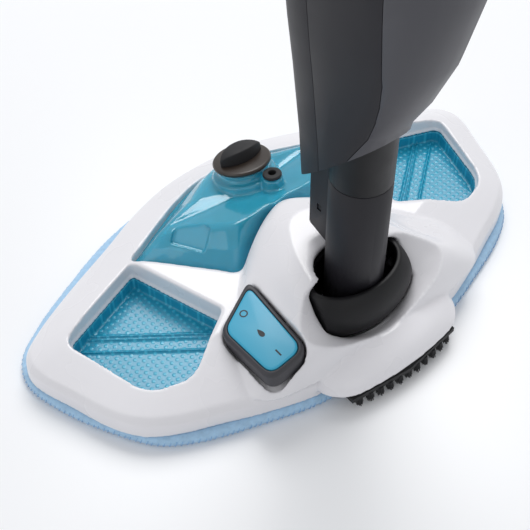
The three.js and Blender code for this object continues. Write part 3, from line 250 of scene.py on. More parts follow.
def solid(name, form):
    """A mesh object in the frame, in metres, with its faces turned outwards."""
    points, faces = form
    mesh = bpy.data.meshes.new(name)
    mesh.from_pydata((np.asarray(points) * MM).tolist(), [], faces)
    tidy = bmesh.new()
    tidy.from_mesh(mesh)
    bmesh.ops.recalc_face_normals(tidy, faces=tidy.faces)
    if tidy.calc_volume(signed=True) < 0:
        bmesh.ops.reverse_faces(tidy, faces=tidy.faces)
    tidy.to_mesh(mesh)
    tidy.free()
    made = bpy.data.objects.new(name, mesh)
    bpy.context.scene.collection.objects.link(made)
    return made


def joined(forms):
    """Several forms as one, each still closed by itself."""
    points, faces, start = [], [], 0
    for form_points, form_faces in forms:
        points.append(form_points)
        faces += [tuple(i + start for i in face) for face in form_faces]
        start += len(form_points)
    return np.vstack(points), faces


def settle(piece):
    """Makes what a piece's modifiers give its own mesh."""
    graph = bpy.context.evaluated_depsgraph_get()
    made = bpy.data.meshes.new_from_object(piece.evaluated_get(graph))
    old = piece.data
    piece.modifiers.clear()
    piece.data = made
    bpy.data.meshes.remove(old)
    made.name = piece.name


def merge(piece, operation, *others):
    """Joins other pieces to a piece, cuts them away or keeps what they share, and removes them."""
    for other in others:
        change = piece.modifiers.new("merge", "BOOLEAN")
        change.operation = operation
        change.solver = "MANIFOLD"
        change.object = other
    settle(piece)
    for other in others:
        bpy.data.meshes.remove(other.data)


def combine(piece, operation, forms):
    """Does the same with forms that aren't pieces yet."""
    merge(piece, operation, *(solid("tool", form) for form in forms))


def combined(name, base, steps):
    """A form with (operation, forms) steps done to it in turn."""
    piece = solid(name, base)
    for operation, forms in steps:
        combine(piece, operation, forms)
    return piece


def soften(piece, voxel, passes, share):
    """Gives a piece an even mesh with its edges rounded, as a moulding's are."""
    even = piece.modifiers.new("even", "REMESH")
    even.mode = "VOXEL"
    even.voxel_size = voxel * MM
    smooth = piece.modifiers.new("smooth", "SMOOTH")
    smooth.factor = 0.5
    smooth.iterations = passes
    if share < 1:
        fewer = piece.modifiers.new("fewer", "DECIMATE")
        fewer.ratio = share
    settle(piece)
    return shaded(piece, 180)


def shaded(piece, angle):
    """Smooth shading, broken at edges sharper than an angle in degrees."""
    piece.data.shade_smooth()
    if angle < 180:
        piece.data.set_sharp_from_angle(angle=math.radians(angle))
    return piece


def refined(node):
    """A finer copy of a CAD node, with its facets shaded smooth and its sharp edges rounded."""
    piece = bpy.data.objects.new(node + "_fine", frame["nodes"][node].data.copy())
    bpy.context.scene.collection.objects.link(piece)
    tidy = bmesh.new()
    tidy.from_mesh(piece.data)
    bmesh.ops.remove_doubles(tidy, verts=tidy.verts, dist=1e-6)
    flat = math.radians(0.6)
    bmesh.ops.dissolve_limit(tidy, angle_limit=flat, verts=tidy.verts, edges=tidy.edges)
    tidy.to_mesh(piece.data)
    tidy.free()
    round_over = piece.modifiers.new("round", "BEVEL")
    round_over.width = EDGE_ROUND * MM
    round_over.segments = 2
    round_over.limit_method = "ANGLE"
    round_over.angle_limit = math.radians(SHARP)
    settle(piece)
    return shaded(piece, SHARP)


# ------------ finishes


def linear(colour):
    """An sRGB hex colour as the linear RGBA that a shader takes."""
    parts = [int(colour[i : i + 2], 16) / 255 for i in (1, 3, 5)]
    return (*(c / 12.92 if c <= 0.04045 else ((c + 0.055) / 1.055) ** 2.4 for c in parts), 1.0)


def shades(colour, spread=0.035):
    """A little darker and a little lighter than a linear colour."""
    return tuple((*(min(1.0, c * (1 + side * spread)) for c in colour[:3]), 1.0) for side in (-1, 1))


def add_node(tree, kind, settings=None, inputs=None):
    """Adds a shader node, sets its properties, and fills its sockets with values or other nodes' outputs."""
    made = tree.nodes.new("ShaderNode" + kind)
    for name, value in (settings or {}).items():
        setattr(made, name, value)
    for name, value in (inputs or {}).items():
        if isinstance(value, bpy.types.NodeSocket):
            tree.links.new(value, made.inputs[name])
        else:
            made.inputs[name].default_value = value
    return made


def new_material(name, constants):
    """A material with one Principled shader, whose constants are set on its own sockets."""
    material = bpy.data.materials.new(name)
    material.use_nodes = True
    tree = material.node_tree
    shader = tree.nodes["Principled BSDF"]
    for socket, value in constants.items():
        shader.inputs[socket].default_value = value
    place = add_node(tree, "TexCoord").outputs["Object"]
    return material, tree, shader, place


def mixed(tree, share, low, high):
    return add_node(tree, "Mix", {"data_type": "RGBA"}, {0: share, 6: low, 7: high}).outputs[2]


def ranged(tree, value, source, target):
    """Turns a value in one range into a value in another."""
    ends = zip(("From Min", "From Max", "To Min", "To Max"), (*source, *target))
    return add_node(tree, "MapRange", inputs={"Value": value, **dict(ends)}).outputs["Result"]


def speckle(tree, place, size, detail, roughness):
    """Soft noise whose patches are a size across in millimetres."""
    inputs = {"Vector": place, "Scale": 1000 / size, "Detail": detail, "Roughness": roughness}
    return add_node(tree, "TexNoise", inputs=inputs).outputs["Fac"]


def surface(tree, shader, tint, height, strength, rise):
    """Gives a shader its colour, and a relief that is rise high in millimetres."""
    inputs = {"Height": height, "Strength": strength, "Distance": rise * MM}
    relief = add_node(tree, "Bump", inputs=inputs)
    tree.links.new(tint, shader.inputs["Base Color"])
    tree.links.new(relief.outputs["Normal"], shader.inputs["Normal"])


def moulded(name, dark, light, rough, grain, depth, mottle, **constants):
    """A moulded plastic or rubber: two close colours in soft patches, and the fine grain of its mould.

    dark and light are linear colours, and rough is the least and most roughness. grain is the size
    of the texture, mottle that of the patches and depth the texture's height, all in millimetres.
    """
    material, tree, shader, place = new_material(name, constants)
    patches = speckle(tree, place, mottle, 3.0, 0.55)
    fine = speckle(tree, place, grain, 2.0, 0.6)
    surface(tree, shader, mixed(tree, patches, dark, light), fine, 0.6, depth)
    tree.links.new(ranged(tree, patches, (0.3, 0.7), rough), shader.inputs["Roughness"])
    return material


def dotted(name, base, dot, pitch, rise, **constants):
    """A plastic with raised dots in a square grid, pitch apart and rise high in millimetres."""
    material, tree, shader, place = new_material(name, constants)

    def vector(operation, *inputs):
        return add_node(tree, "VectorMath", {"operation": operation}, dict(enumerate(inputs)))

    grid = vector("MULTIPLY", place, (1000 / pitch,) * 3)
    cell = vector("FRACTION", grid.outputs[0])
    middle = vector("SUBTRACT", cell.outputs[0], (0.5, 0.5, 0.5))
    flat = vector("MULTIPLY", middle.outputs[0], (1, 1, 0))
    reach = vector("LENGTH", flat.outputs[0]).outputs["Value"]
    mask = ranged(tree, reach, (0.34, 0.16), (0.0, 1.0))
    surface(tree, shader, mixed(tree, mask, base, dot), mask, 0.7, rise)
    return material


FINISHES = {}

# Slot: name, dark and light colour, least and most roughness, grain, depth, mottle, constants.
MOULDED = {
    # Spark-eroded charcoal ABS: matt, with a fine even grain.
    "body_grey": (
        "grained ABS, charcoal", "#19181D", "#222127", (0.46, 0.56), 0.8, 0.035, 45.0,
        {"IOR": 1.53, "Specular IOR Level": 0.35},
    ),
    # The same ABS with a satin face.
    "rear_grey": (
        "grained ABS, mid grey", "#3C3C42", "#45454B", (0.38, 0.46), 0.9, 0.02, 45.0,
        {"IOR": 1.53},
    ),
    # Soft-touch coated ABS of the pedal's frame.
    "pedal_grey": (
        "soft-touch coated ABS, warm grey", "#333237", "#3D3D42", (0.44, 0.52), 0.7, 0.02, 18.0,
        {"IOR": 1.5},
    ),
    # Glass-filled nylon of the neck joint: near black with a low sheen.
    "joint_black": (
        "glass-filled nylon, black", "#0C0C0F", "#131316", (0.42, 0.52), 1.1, 0.025, 22.0,
        {"IOR": 1.52, "Specular IOR Level": 0.3},
    ),
    # EPDM rubber and stiff bristle.
    "rubber_black": (
        "EPDM rubber, black", "#151517", "#1F1F22", (0.58, 0.72), 0.9, 0.03, 8.0,
        {"IOR": 1.5},
    ),
    "light_grey": (
        "hook tape and acetal, light grey", "#CDCDD0", "#DADADC", (0.6, 0.75), 1.2, 0.06, 6.0,
        {"IOR": 1.48},
    ),
    "steel": ("zinc-plated steel", "#AEB1B6", "#BFC2C6", (0.24, 0.36), 2.2, 0.01, 4.0, {"Metallic": 1.0}),
    "aluminium": (
        "die-cast aluminium", "#B9BBBE", "#C9CBCE", (0.38, 0.5), 1.4, 0.06, 12.0,
        {"Metallic": 1.0},
    ),
    "brass": ("turned brass", "#AD8D45", "#C2A25C", (0.22, 0.34), 1.2, 0.015, 5.0, {"Metallic": 1.0}),
    "hose_white": (
        "silicone, off-white", "#D6D4CC", "#E2E0DA", (0.45, 0.6), 2.0, 0.02, 14.0,
        {"IOR": 1.43},
    ),
    # Polyester overlock thread round the cloth: a darker blue than the loops.
    "thread": (
        "polyester thread, mid blue", "#7FAEDA", "#9CC4E8", (0.6, 0.75), 0.5, 0.05, 2.0,
        {"IOR": 1.5, "Sheen Weight": 0.3},
    ),
    # Satin ABS of the tank's cap: brown-black with a bronze sheen.
    "cap_brown": (
        "moulded ABS, brown-black", "#2C2521", "#3B322B", (0.28, 0.36), 0.9, 0.01, 12.0,
        {"IOR": 1.53},
    ),
    # Pad-printed ink of the pedal's marks.
    "ink": ("pad-printed ink, charcoal", "#26282C", "#303236", (0.5, 0.6), 0.6, 0.003, 3.0, {"IOR": 1.5}),
    "tank_clear": (
        "moulded clear SAN, smoke blue", "#7FB9CC", "#93C8D8", (0.05, 0.1), 30.0, 0.002, 50.0,
        {"IOR": 1.57, "Transmission Weight": 0.8},
    ),
}


def make_finishes(sizes, colours):
    """One material for each slot of the record, and those of the trim."""
    FINISHES.update(
        # High-gloss ABS shell: clean white with a faint violet shade and soft highlights.
        white_shell=moulded(
            "moulded ABS, white", *shades(colours.shell), (0.24, 0.32), 1.6, 0.006,
            60.0, **{"IOR": 1.53, "Coat Weight": 0.25, "Coat Roughness": 0.12},
        ),
        # Clear tinted SAN of the tank: bright cyan, glossy, with the light showing through.
        tank_blue=moulded(
            "moulded clear SAN, cyan", *shades(colours.tank), (0.05, 0.09), 9.0, 0.02,
            50.0, **{"IOR": 1.57, "Transmission Weight": 0.55, "Coat Weight": 0.3},
        ),
        # Tinted SAN of the trays: a satin floor with small raised dots in a grid.
        window_blue=dotted(
            "moulded translucent SAN, cyan", linear("#1C9DC0"), linear("#3DBEDD"), sizes.dot_pitch, 0.2,
            **{"IOR": 1.57, "Transmission Weight": 0.12, "Roughness": 0.24},
        ),
        # Satin ABS of the pedal's top, latch and trigger.
        insert_blue=moulded(
            "moulded ABS, light blue", *shades(colours.insert), (0.3, 0.38), 0.9, 0.008,
            25.0, **{"IOR": 1.53},
        ),
        cloth_blue=moulded(
            "microfibre terry, light blue", *shades(colours.cloth, 0.22), (0.9, 0.98), 1.4, 0.4,
            3.2, **{"IOR": 1.46, "Sheen Weight": 0.5, "Sheen Roughness": 0.4},
        ),
    )
    for slot, (name, dark, light, *settings, constants) in MOULDED.items():
        FINISHES[slot] = moulded(name, linear(dark), linear(light), *settings, **constants)


def dressed(piece, slot, body):
    """Gives a piece its finish and puts it on its body."""
    piece.data.materials.clear()
    piece.data.materials.append(FINISHES[slot])
    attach(piece, body)


def stand_for(piece, node):
    """Shows a finer piece in place of a CAD node, on the node's body and in its slot."""
    dressed(piece, SLOTS[node], BODIES[node])
    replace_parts(piece, node)


# ------------ what a user can change


def millimetres(name, description, default, low, high):
    return bpy.props.FloatProperty(
        name=name, description=description + ", in millimetres", default=default, min=low, max=high,
    )


def colour(name, description, default):
    return bpy.props.FloatVectorProperty(
        name=name, description=description, subtype="COLOR", size=4, min=0, max=1,
        default=linear(default),
    )


class MopSizes(bpy.types.PropertyGroup):
    voxel: millimetres("Cover mesh", "Size of the even mesh of the head's cover", 0.9, 0.5, 3.0)
    dot_pitch: millimetres("Dot pitch", "Distance between the dots of the trays", 3.6, 2.0, 8.0)
    stitch_pitch: millimetres("Stitch pitch", "Distance between the cloth's edge stitches", 3.1, 1.5, 8.0)
    tufts: bpy.props.IntProperty(
        name="Tufts", description="How many bristle tufts stand in each row", default=11, min=3, max=14,
    )


class MopColours(bpy.types.PropertyGroup):
    shell: colour("Cover", "Colour of the head's cover", "#EAE9ED")
    tank: colour("Tank", "Colour of the detergent tank", "#4BCDEB")
    insert: colour("Pedal top", "Colour of the pedal's top, the latch and the trigger", "#35A5C7")
    cloth: colour("Cloth", "Colour of the microfibre cloth", "#A9CDEC")


# ------------ sizes and outlines, in millimetres

COVER_EDGE = 7.0
COVER_WALL = 2.6
PLATE_TOP = 10.4
PIVOT = 36.0
TUBE = 16.0
TUBE_FOOT = 22.0
TUBE_TOP = 118.5
TUBE_BORE = 13.0
YOKE_HALF = 31.0
YOKE_REACH = 38.0
YOKE_RADIUS = 25.0
SWING = math.radians(15)
TANK_FLOOR = 24.3
BRUSH_TOP = 12.2
FIT = 0.3
RUN_GAP = 1.0
YOKE_GAP = 0.9
FAR = 400.0
HEAD_MIDDLE = (0, 58)
HEAD_HALF_WIDTH = 163.5
HEAD_HALF_DEPTH = 90
WINDOW_SKIRT = 20.8
WINDOW_REACH = 22.2
WINDOW_LEDGE = 1.5
TRAY_FOOT = 11.2
TRAY_TOP = 20.5
TRAY_FLOOR = 13.2
RIB_TURN = 0.65
TANK_PEAK = 50
TANK_REAR = 64.5
TANK_CORNER = 41
TANK_SHOULDER = 98
TANK_NOSE = 29
TANK_WALL = 2
OUTLET = (0, 72.5, 0)
WELL_FLOOR = 26
PEDAL_PIN = 33
PEDAL_TOP = 8.5
PEDAL_FOOT = -4.4
PEDAL_RIM = 2.6
PIN_HOLE = 3.65
TRUNNION_HOLE = 4.15
SIDES = (-1, 1)

COVER_HALF = [
    (0, -31), (46, -29.5), (76, -20.5), (100, -10.5), (121, -1.5), (135, 8), (145, 22), (156, 50),
    (162, 66), (163.5, 77), (159.5, 87), (148, 95.5), (120, 109.5), (85, 124.5), (55, 138),
    (28, 145.8), (0, 148),
]
CLOTH_HALF = [
    (0, -33), (47, -31.2), (79, -22), (113, -9.3), (131, 2.5), (144.5, 22), (158.5, 50.5),
    (165, 77), (159.5, 94), (141, 108.5), (115.5, 122), (77, 139), (40, 148), (0, 151),
]
MOUND = [
    (20, [(0, 65), (26, 60), (46, 46), (64, 30), (84, 6), (80, -20), (52, -29), (0, -31)]),
    (33, [(0, 65), (25, 59), (43, 44), (58, 28), (72, 4), (66, -19), (46, -27), (0, -29)]),
    (44, [(0, 65), (21, 58), (34, 42), (43, 22), (49, 0), (53, -15), (42, -22), (0, -26)]),
    (53, [(0, 61), (14, 53), (24, 37), (32, 20), (37, 3), (38, -8), (30, -14), (0, -18)]),
    (57.5, [(0, 46), (9, 43), (17, 33), (23, 20), (27, 6), (27, -2), (20, -8), (0, -11)]),
]
SHROUD = [
    (BRUSH_TOP, [(0, 0), (44, 0), (50, -10), (50, -27), (47, -36), (38, -43.5), (20, -47), (0, -48)]),
    (17, [(0, 0), (44, 0), (49, -10), (49, -26.5), (46, -35), (37, -42.5), (20, -46), (0, -47)]),
    (23, [(0, 0), (40, 0), (45, -10), (45, -24), (42, -31), (34, -37), (18, -40.5), (0, -41.5)]),
    (27, [(0, 0), (34, 0), (39, -10), (39, -20), (36, -25), (29, -29), (16, -31.5), (0, -32.5)]),
]
SCOOP = [
    (22, [(0, 0), (18, 0), (22, -6), (21, -15), (10, -21.5), (0, -23)]),
    (31, [(0, 2), (20, 0), (26, -9), (27, -19), (15, -32), (0, -36)]),
    (38, [(0, 2), (22, 0), (28, -6), (38, -21), (24, -48), (0, -54)]),
    (46, [(0, 2), (22, 1), (31, -3), (52, -21), (34, -62), (0, -70)]),
    (54, [(0, 2), (21, 1), (36, -1), (62, -20), (40, -72), (0, -84)]),
    (70, [(0, 2), (19, 1), (46, 2), (82, -18), (50, -90), (0, -100)]),
]
TANK_HALF = [
    (0, 64.5), (9, 63), (18, 59), (30, 53.5), (41, 49.5), (50, 59), (70, 82), (81, 94.5), (80, 97.5),
    (72, 101.5), (53, 111), (36, 119), (14, 126.3), (0, 127),
]
WINDOW = [(84, 94, 3), (141, 72, 7), (124, 18, 12), (99.5, 10.5, 9), (64, 33.5, 3)]
PEDAL = [(17.5, 32.5, 6.5), (-15, 16.5, 7), (-13.5, -24.5, 7.5), (13, -24, 8.5)]
PEDAL_PLACE = at(-61.5, 2, PEDAL_PIN, 0, math.radians(-8))

COVER_OUTLINE = smooth_outline(COVER_HALF, 260)
WINDOW_OUTLINE = rounded_outline(WINDOW)
PEDAL_OUTLINE = rounded_outline(PEDAL, 14)
TANK_OUTLINE = smooth_outline(TANK_HALF, 220)


# ------------ head cover and windows


def in_from_side(inset, z):
    """The cover's outline drawn in towards the middle of the head, as a ring."""
    scale = np.array((1 - inset / HEAD_HALF_WIDTH, 1 - inset / HEAD_HALF_DEPTH))
    points = (COVER_OUTLINE - HEAD_MIDDLE) * scale + HEAD_MIDDLE
    return at_height(points, z)


def low_cover(wall):
    """The cover without its mound, or the hollow in it where there is a wall."""
    foot = COVER_EDGE - (1 if wall else 0)
    levels = [(foot, wall), (16, 1 + wall)]
    levels += [
        (z - wall, inset + wall)
        for z, inset in ((20.5, 4), (24.2, 12), (27.5, 20), (31, 30.5), (34, 42))
    ]
    return skin([in_from_side(inset, z) for z, inset in levels])


def level_rings(levels, wall, steps, between):
    """Half outlines at their heights as smoothly blended rings, drawn in by a wall."""
    rings = []
    for i, (z, half) in enumerate(levels):
        drop = (1 if wall and i == 0 else 0) + (wall if i == len(levels) - 1 else 0)
        rings.append(at_height(offset(smooth_outline(half, steps), -wall), z - drop))
    return blended(rings, between)


def yoke_turned(gap):
    """The yoke's rounded form about its own axis, larger all round by a gap."""
    end = YOKE_HALF + gap
    profile = [
        ((YOKE_RADIUS + gap) * math.sqrt(1 - (x / (YOKE_REACH + gap)) ** 2), x)
        for x in np.linspace(-end, end, 33)
    ]
    return moved(turned([(0, -end), *profile, (0, end)], 96), ALONG_X)


def tube_way():
    """The way above the yoke in which the tube stands, swings and leans back."""
    reach = (TUBE + RUN_GAP) / math.cos(SWING)
    rings = []
    for z in (PIVOT, PIVOT + 80):
        swing = (z - PIVOT) * math.tan(SWING)
        angles = np.linspace(0, math.pi, 49)
        x = np.sign(np.cos(angles)) * swing + reach * np.cos(angles)
        arc = np.column_stack([x, reach * np.sin(angles)])
        rear = [(-swing - reach, -YOKE_RADIUS), (swing + reach, -YOKE_RADIUS)]
        rings.append(at_height(np.vstack([arc, rear]), z))
    return skin(rings)


def window_outline(side, gap):
    outline = offset(WINDOW_OUTLINE, gap)
    return flip(outline) if side < 0 else outline


def window_hole(side, gap, foot):
    return prism(window_outline(side, gap), foot, FAR)


def yoke_space(gap):
    return moved(yoke_turned(gap), at(0, 0, PIVOT))


def neck_hollow(gap):
    """The open hollow behind the yoke that rises and widens towards the rear."""
    rings = blended([at_height(offset(smooth_outline(half, 120), gap), z) for z, half in SCOOP], 4)
    return skin([ring - (0, 0, gap) for ring in rings])


def pedal_well(gap):
    foot = WELL_FLOOR - PEDAL_PIN - gap
    return moved(prism(offset(PEDAL_OUTLINE, gap), foot, FAR), PEDAL_PLACE)


def tank_pocket(gap):
    return prism(offset(TANK_OUTLINE, gap), TANK_FLOOR - FIT - gap, FAR)


def at_screws(form):
    return [moved(form, at(x, y, 0)) for x, y in SCREWS]


def bearing_slots():
    middle = YOKE_HALF + RUN_GAP + 3
    tall = PIVOT + 6 + FIT - PLATE_TOP
    size = (6.6, 12.6, tall + 1)
    return [block((side * middle, 0, PLATE_TOP + tall / 2 - 0.5), size) for side in SIDES]


SCREWS = [(-107, 2.5), (107, 2.5), (-62, 112), (62, 112)]


class MOP_OT_head_cover(bpy.types.Operator):
    """The white cover of the head, with its mound, brush shroud, windows and pockets"""

    bl_idname = "mop.head_cover"
    bl_label = "Head cover"

    def execute(self, context):
        outer = [skin(level_rings(MOUND, 0, 180, 4)), skin(level_rings(SHROUD, 0, 150, 2))]
        inner = [
            low_cover(COVER_WALL),
            skin(level_rings(MOUND, COVER_WALL, 180, 4)),
            skin(level_rings(SHROUD, COVER_WALL, 150, 2)),
        ]
        lining = [
            yoke_space(YOKE_GAP + COVER_WALL),
            neck_hollow(COVER_WALL),
            pedal_well(RUN_GAP + COVER_WALL),
            tank_pocket(FIT + COVER_WALL),
            *(window_hole(side, COVER_WALL, WINDOW_SKIRT) for side in SIDES),
            *at_screws(drum(4.5, PLATE_TOP + FIT, 27.5, 24)),
        ]
        shape = combined("cover_lining", lining[0], [("UNION", lining[1:])])
        whole = combined("cover_outer", low_cover(0), [("UNION", outer)])
        steps = [("UNION", outer), ("DIFFERENCE", inner)]
        cover = combined("head_cover_shell", low_cover(0), steps)
        merge(shape, "INTERSECT", whole)
        merge(cover, "UNION", shape)
        brush_room = BRUSH_TOP - 1
        combine(cover, "DIFFERENCE", [
            yoke_space(YOKE_GAP),
            neck_hollow(0),
            tube_way(),
            pedal_well(RUN_GAP),
            tank_pocket(FIT),
            *(window_hole(side, 0, WINDOW_REACH) for side in SIDES),
            *(window_hole(side, -WINDOW_LEDGE, 0) for side in SIDES),
            *bearing_slots(),
            moved(drum(4, COVER_EDGE, TANK_FLOOR, 24), at(*OUTLET)),
            prism(offset(COVER_OUTLINE, -COVER_WALL - 1), -1, PLATE_TOP + FIT),
            block((0, -45, brush_room / 2), (130, 28, brush_room)),
            *at_screws(drum(1.5, PLATE_TOP, PLATE_TOP + 7, 16)),
            moved(moved(drum(2.2, 0, 21, 24), ALONG_X), PEDAL_PLACE),
        ])
        soften(cover, context.scene.mop_sizes.voxel, 9, 0.45)
        stand_for(cover, "head_cover")
        return {"FINISHED"}


class MOP_OT_window_trays(bpy.types.Operator):
    """The tinted trays seen through the cover's two windows, with their ribs"""

    bl_idname = "mop.window_trays"
    bl_label = "Window trays"

    def execute(self, context):
        bars = ((98.5, 57.5, 1.1), (97.5, 53.5, 0.8), (104, 48, 0.9))
        for name, side in (("left", -1), ("right", 1)):
            rim = prism(window_outline(side, COVER_WALL), TRAY_FOOT, TRAY_TOP)
            hollow = prism(window_outline(side, -WINDOW_LEDGE), TRAY_FLOOR, FAR)
            tray = combined(f"window_tray_{name}_shell", rim, [("DIFFERENCE", [hollow])])
            reach = prism(window_outline(side, -1.2), 12.4, 20)
            for k, (x, y, thick) in enumerate(bars):
                place = at(side * x, y, 13.7, 0, 0, side * RIB_TURN)
                bar = moved(block((0, 0, 0), (76, thick, 1.7)), place)
                kept = combined(f"rib_{k}", bar, [("INTERSECT", [reach])])
                merge(tray, "UNION", kept)
            soften(tray, 0.6, 2, 0.35)
            stand_for(tray, f"window_tray_{name}")
        return {"FINISHED"}


# ------------ detergent tank


def tank_top(x, y):
    """How high the tank's top stands, falling away to the front and to both ends."""
    forward = y - TANK_REAR
    return TANK_PEAK - 0.0018 * x * x - 0.1 * forward - 0.002 * forward * forward


def tank_ring(end, shoulder, front_inset, wall, height):
    """One ring of the tank: its ends lean in, and its front edge draws back."""
    x, y = TANK_OUTLINE[:, 0], TANK_OUTLINE[:, 1]
    towards_end = np.minimum(1, np.abs(x) / TANK_CORNER)
    front = np.maximum(0, (y - TANK_SHOULDER) / TANK_NOSE)
    moved_y = y + (TANK_SHOULDER - y) * shoulder * towards_end - front_inset * front
    points = np.column_stack([x * (1 - (1 - end) * towards_end), moved_y])
    return at_height(offset(points, -wall), height)


def tank_form(wall):
    foot = TANK_FLOOR + wall

    def share(part):
        """The height at a share of the way from the tank's floor to its top."""

        def height(x, y):
            return foot + (tank_top(x, y) - TANK_FLOOR) * part - wall * (1 + part)

        return height

    rings = [
        tank_ring(1, 0, 0, wall, foot),
        tank_ring(1, 0, 0, wall, share(0.1)),
        tank_ring(0.985, 0.02, 0.6, wall, share(0.13)),
        tank_ring(0.955, 0.06, 1.2, wall, share(0.17)),
        tank_ring(0.86, 0.2, 2.5, wall, share(0.62)),
        tank_ring(0.765, 0.36, 5.2, wall, share(0.94)),
        tank_ring(0.74, 0.385, 7.5, wall, share(0.985)),
        tank_ring(0.7, 0.42, 12, wall, share(1)),
    ]
    return skin(rings)


FILLER = at(4, 101, tank_top(4, 101), math.radians(-14))
VENT = at(9, 80, tank_top(9, 80), math.radians(-7))


def finger_recess(side, wall):
    """The cutting form of the finger recess in one end wall, larger all round by a wall."""
    across, along = 10.5 + wall, 7.5 + wall
    outline = rounded_outline([
        (across, along, 3), (-across, along, 3), (-across, -along, 2), (across, -along, 2),
    ])
    outward = Vector((side * 0.57, -0.34, 0.75)).to_track_quat("Z", "Y").to_matrix().to_4x4()
    place = Matrix.Translation((side * 49.5, 82.4, 41.1)) @ outward
    return moved(prism(outline, -2.6 - wall, 12), place)


class MOP_OT_detergent_tank(bpy.types.Operator):
    """The clear cyan tank with its filler neck, vent collar and finger recesses"""

    bl_idname = "mop.detergent_tank"
    bl_label = "Detergent tank"

    def execute(self, context):
        neck = [(0, -6), (20, -6), (19, 1), (16, 2.2), (15, 3.4), (15, 6), (0, 6)]
        collar = [(0, -6), (7.6, -6), (6.6, 1), (6.2, 5), (0, 5)]
        hollow = combined("tank_hollow", tank_form(TANK_WALL), [
            ("DIFFERENCE", [finger_recess(side, TANK_WALL) for side in SIDES]),
        ])
        tank = combined("detergent_tank_shell", tank_form(0), [
            ("UNION", [moved(turned(neck), FILLER), moved(turned(collar, 32), VENT)]),
            ("DIFFERENCE", [finger_recess(side, 0) for side in SIDES]),
        ])
        merge(tank, "DIFFERENCE", hollow)
        combine(tank, "DIFFERENCE", [
            moved(drum(11, -20, 20), FILLER),
            moved(drum(3, -15, 20, 24), VENT),
            moved(drum(3.4, 0, TANK_FLOOR + 6, 24), at(*OUTLET)),
        ])
        soften(tank, 0.7, 4, 0.5)
        stand_for(tank, "detergent_tank")

        self.make_cap()
        vent = [
            (0, -4), (2.85, -4), (2.85, 5.3), (5.2, 5.3), (5.6, 5.7), (5.6, 6.7), (5.2, 7.3),
            (4, 7.6), (2.6, 7.6), (2.3, 7.2), (2.1, 4), (0, 4),
        ]
        ring = solid("tank_vent_ring", moved(turned(vent, 48), VENT))
        stand_for(shaded(ring, 30), "tank_vent")
        return {"FINISHED"}

    @staticmethod
    def make_cap():
        """The cap's flange, and the domed grip across it where two round forms cross."""
        flange = [(0, 0), (16.6, 0), (17.4, 0.7), (17.5, 1.9), (16.9, 2.7), (15.9, 3), (0, 3)]
        cap = combined("tank_cap_flange", turned(flange, 96), [
            ("UNION", [drum(10.3, -6, 0.5)]),
            ("DIFFERENCE", [drum(8.3, -7, -1)]),
        ])
        place = FILLER @ at(0, 0, 7.3)
        cap.data.transform(metres(place))
        stand_for(shaded(cap, 30), "tank_cap")
        cap.data.materials[0] = FINISHES["cap_brown"]
        dome = [(0, 0), (15.2, 0), (15, 1), *(
            (15 * math.cos(a), 2.4 + 6.6 * math.sin(a)) for a in np.linspace(0.1, 1.45, 14)
        ), (0, 9)]
        spread, half_grip = 19.5, 6.2
        cheek = drum(spread, -1, 20, 128)
        ridge = combined("tank_cap_grip", turned(dome, 96), [
            ("INTERSECT", [moved(cheek, at(0, side * (spread - half_grip), 0))])
            for side in SIDES
        ])
        soften(ridge, 0.45, 4, 1)
        ridge.data.transform(metres(place @ at(0, 0, 2.4, 0, 0, math.radians(-4))))
        dressed(ridge, "rubber_black", BODIES["tank_cap"])


# ------------ pedal


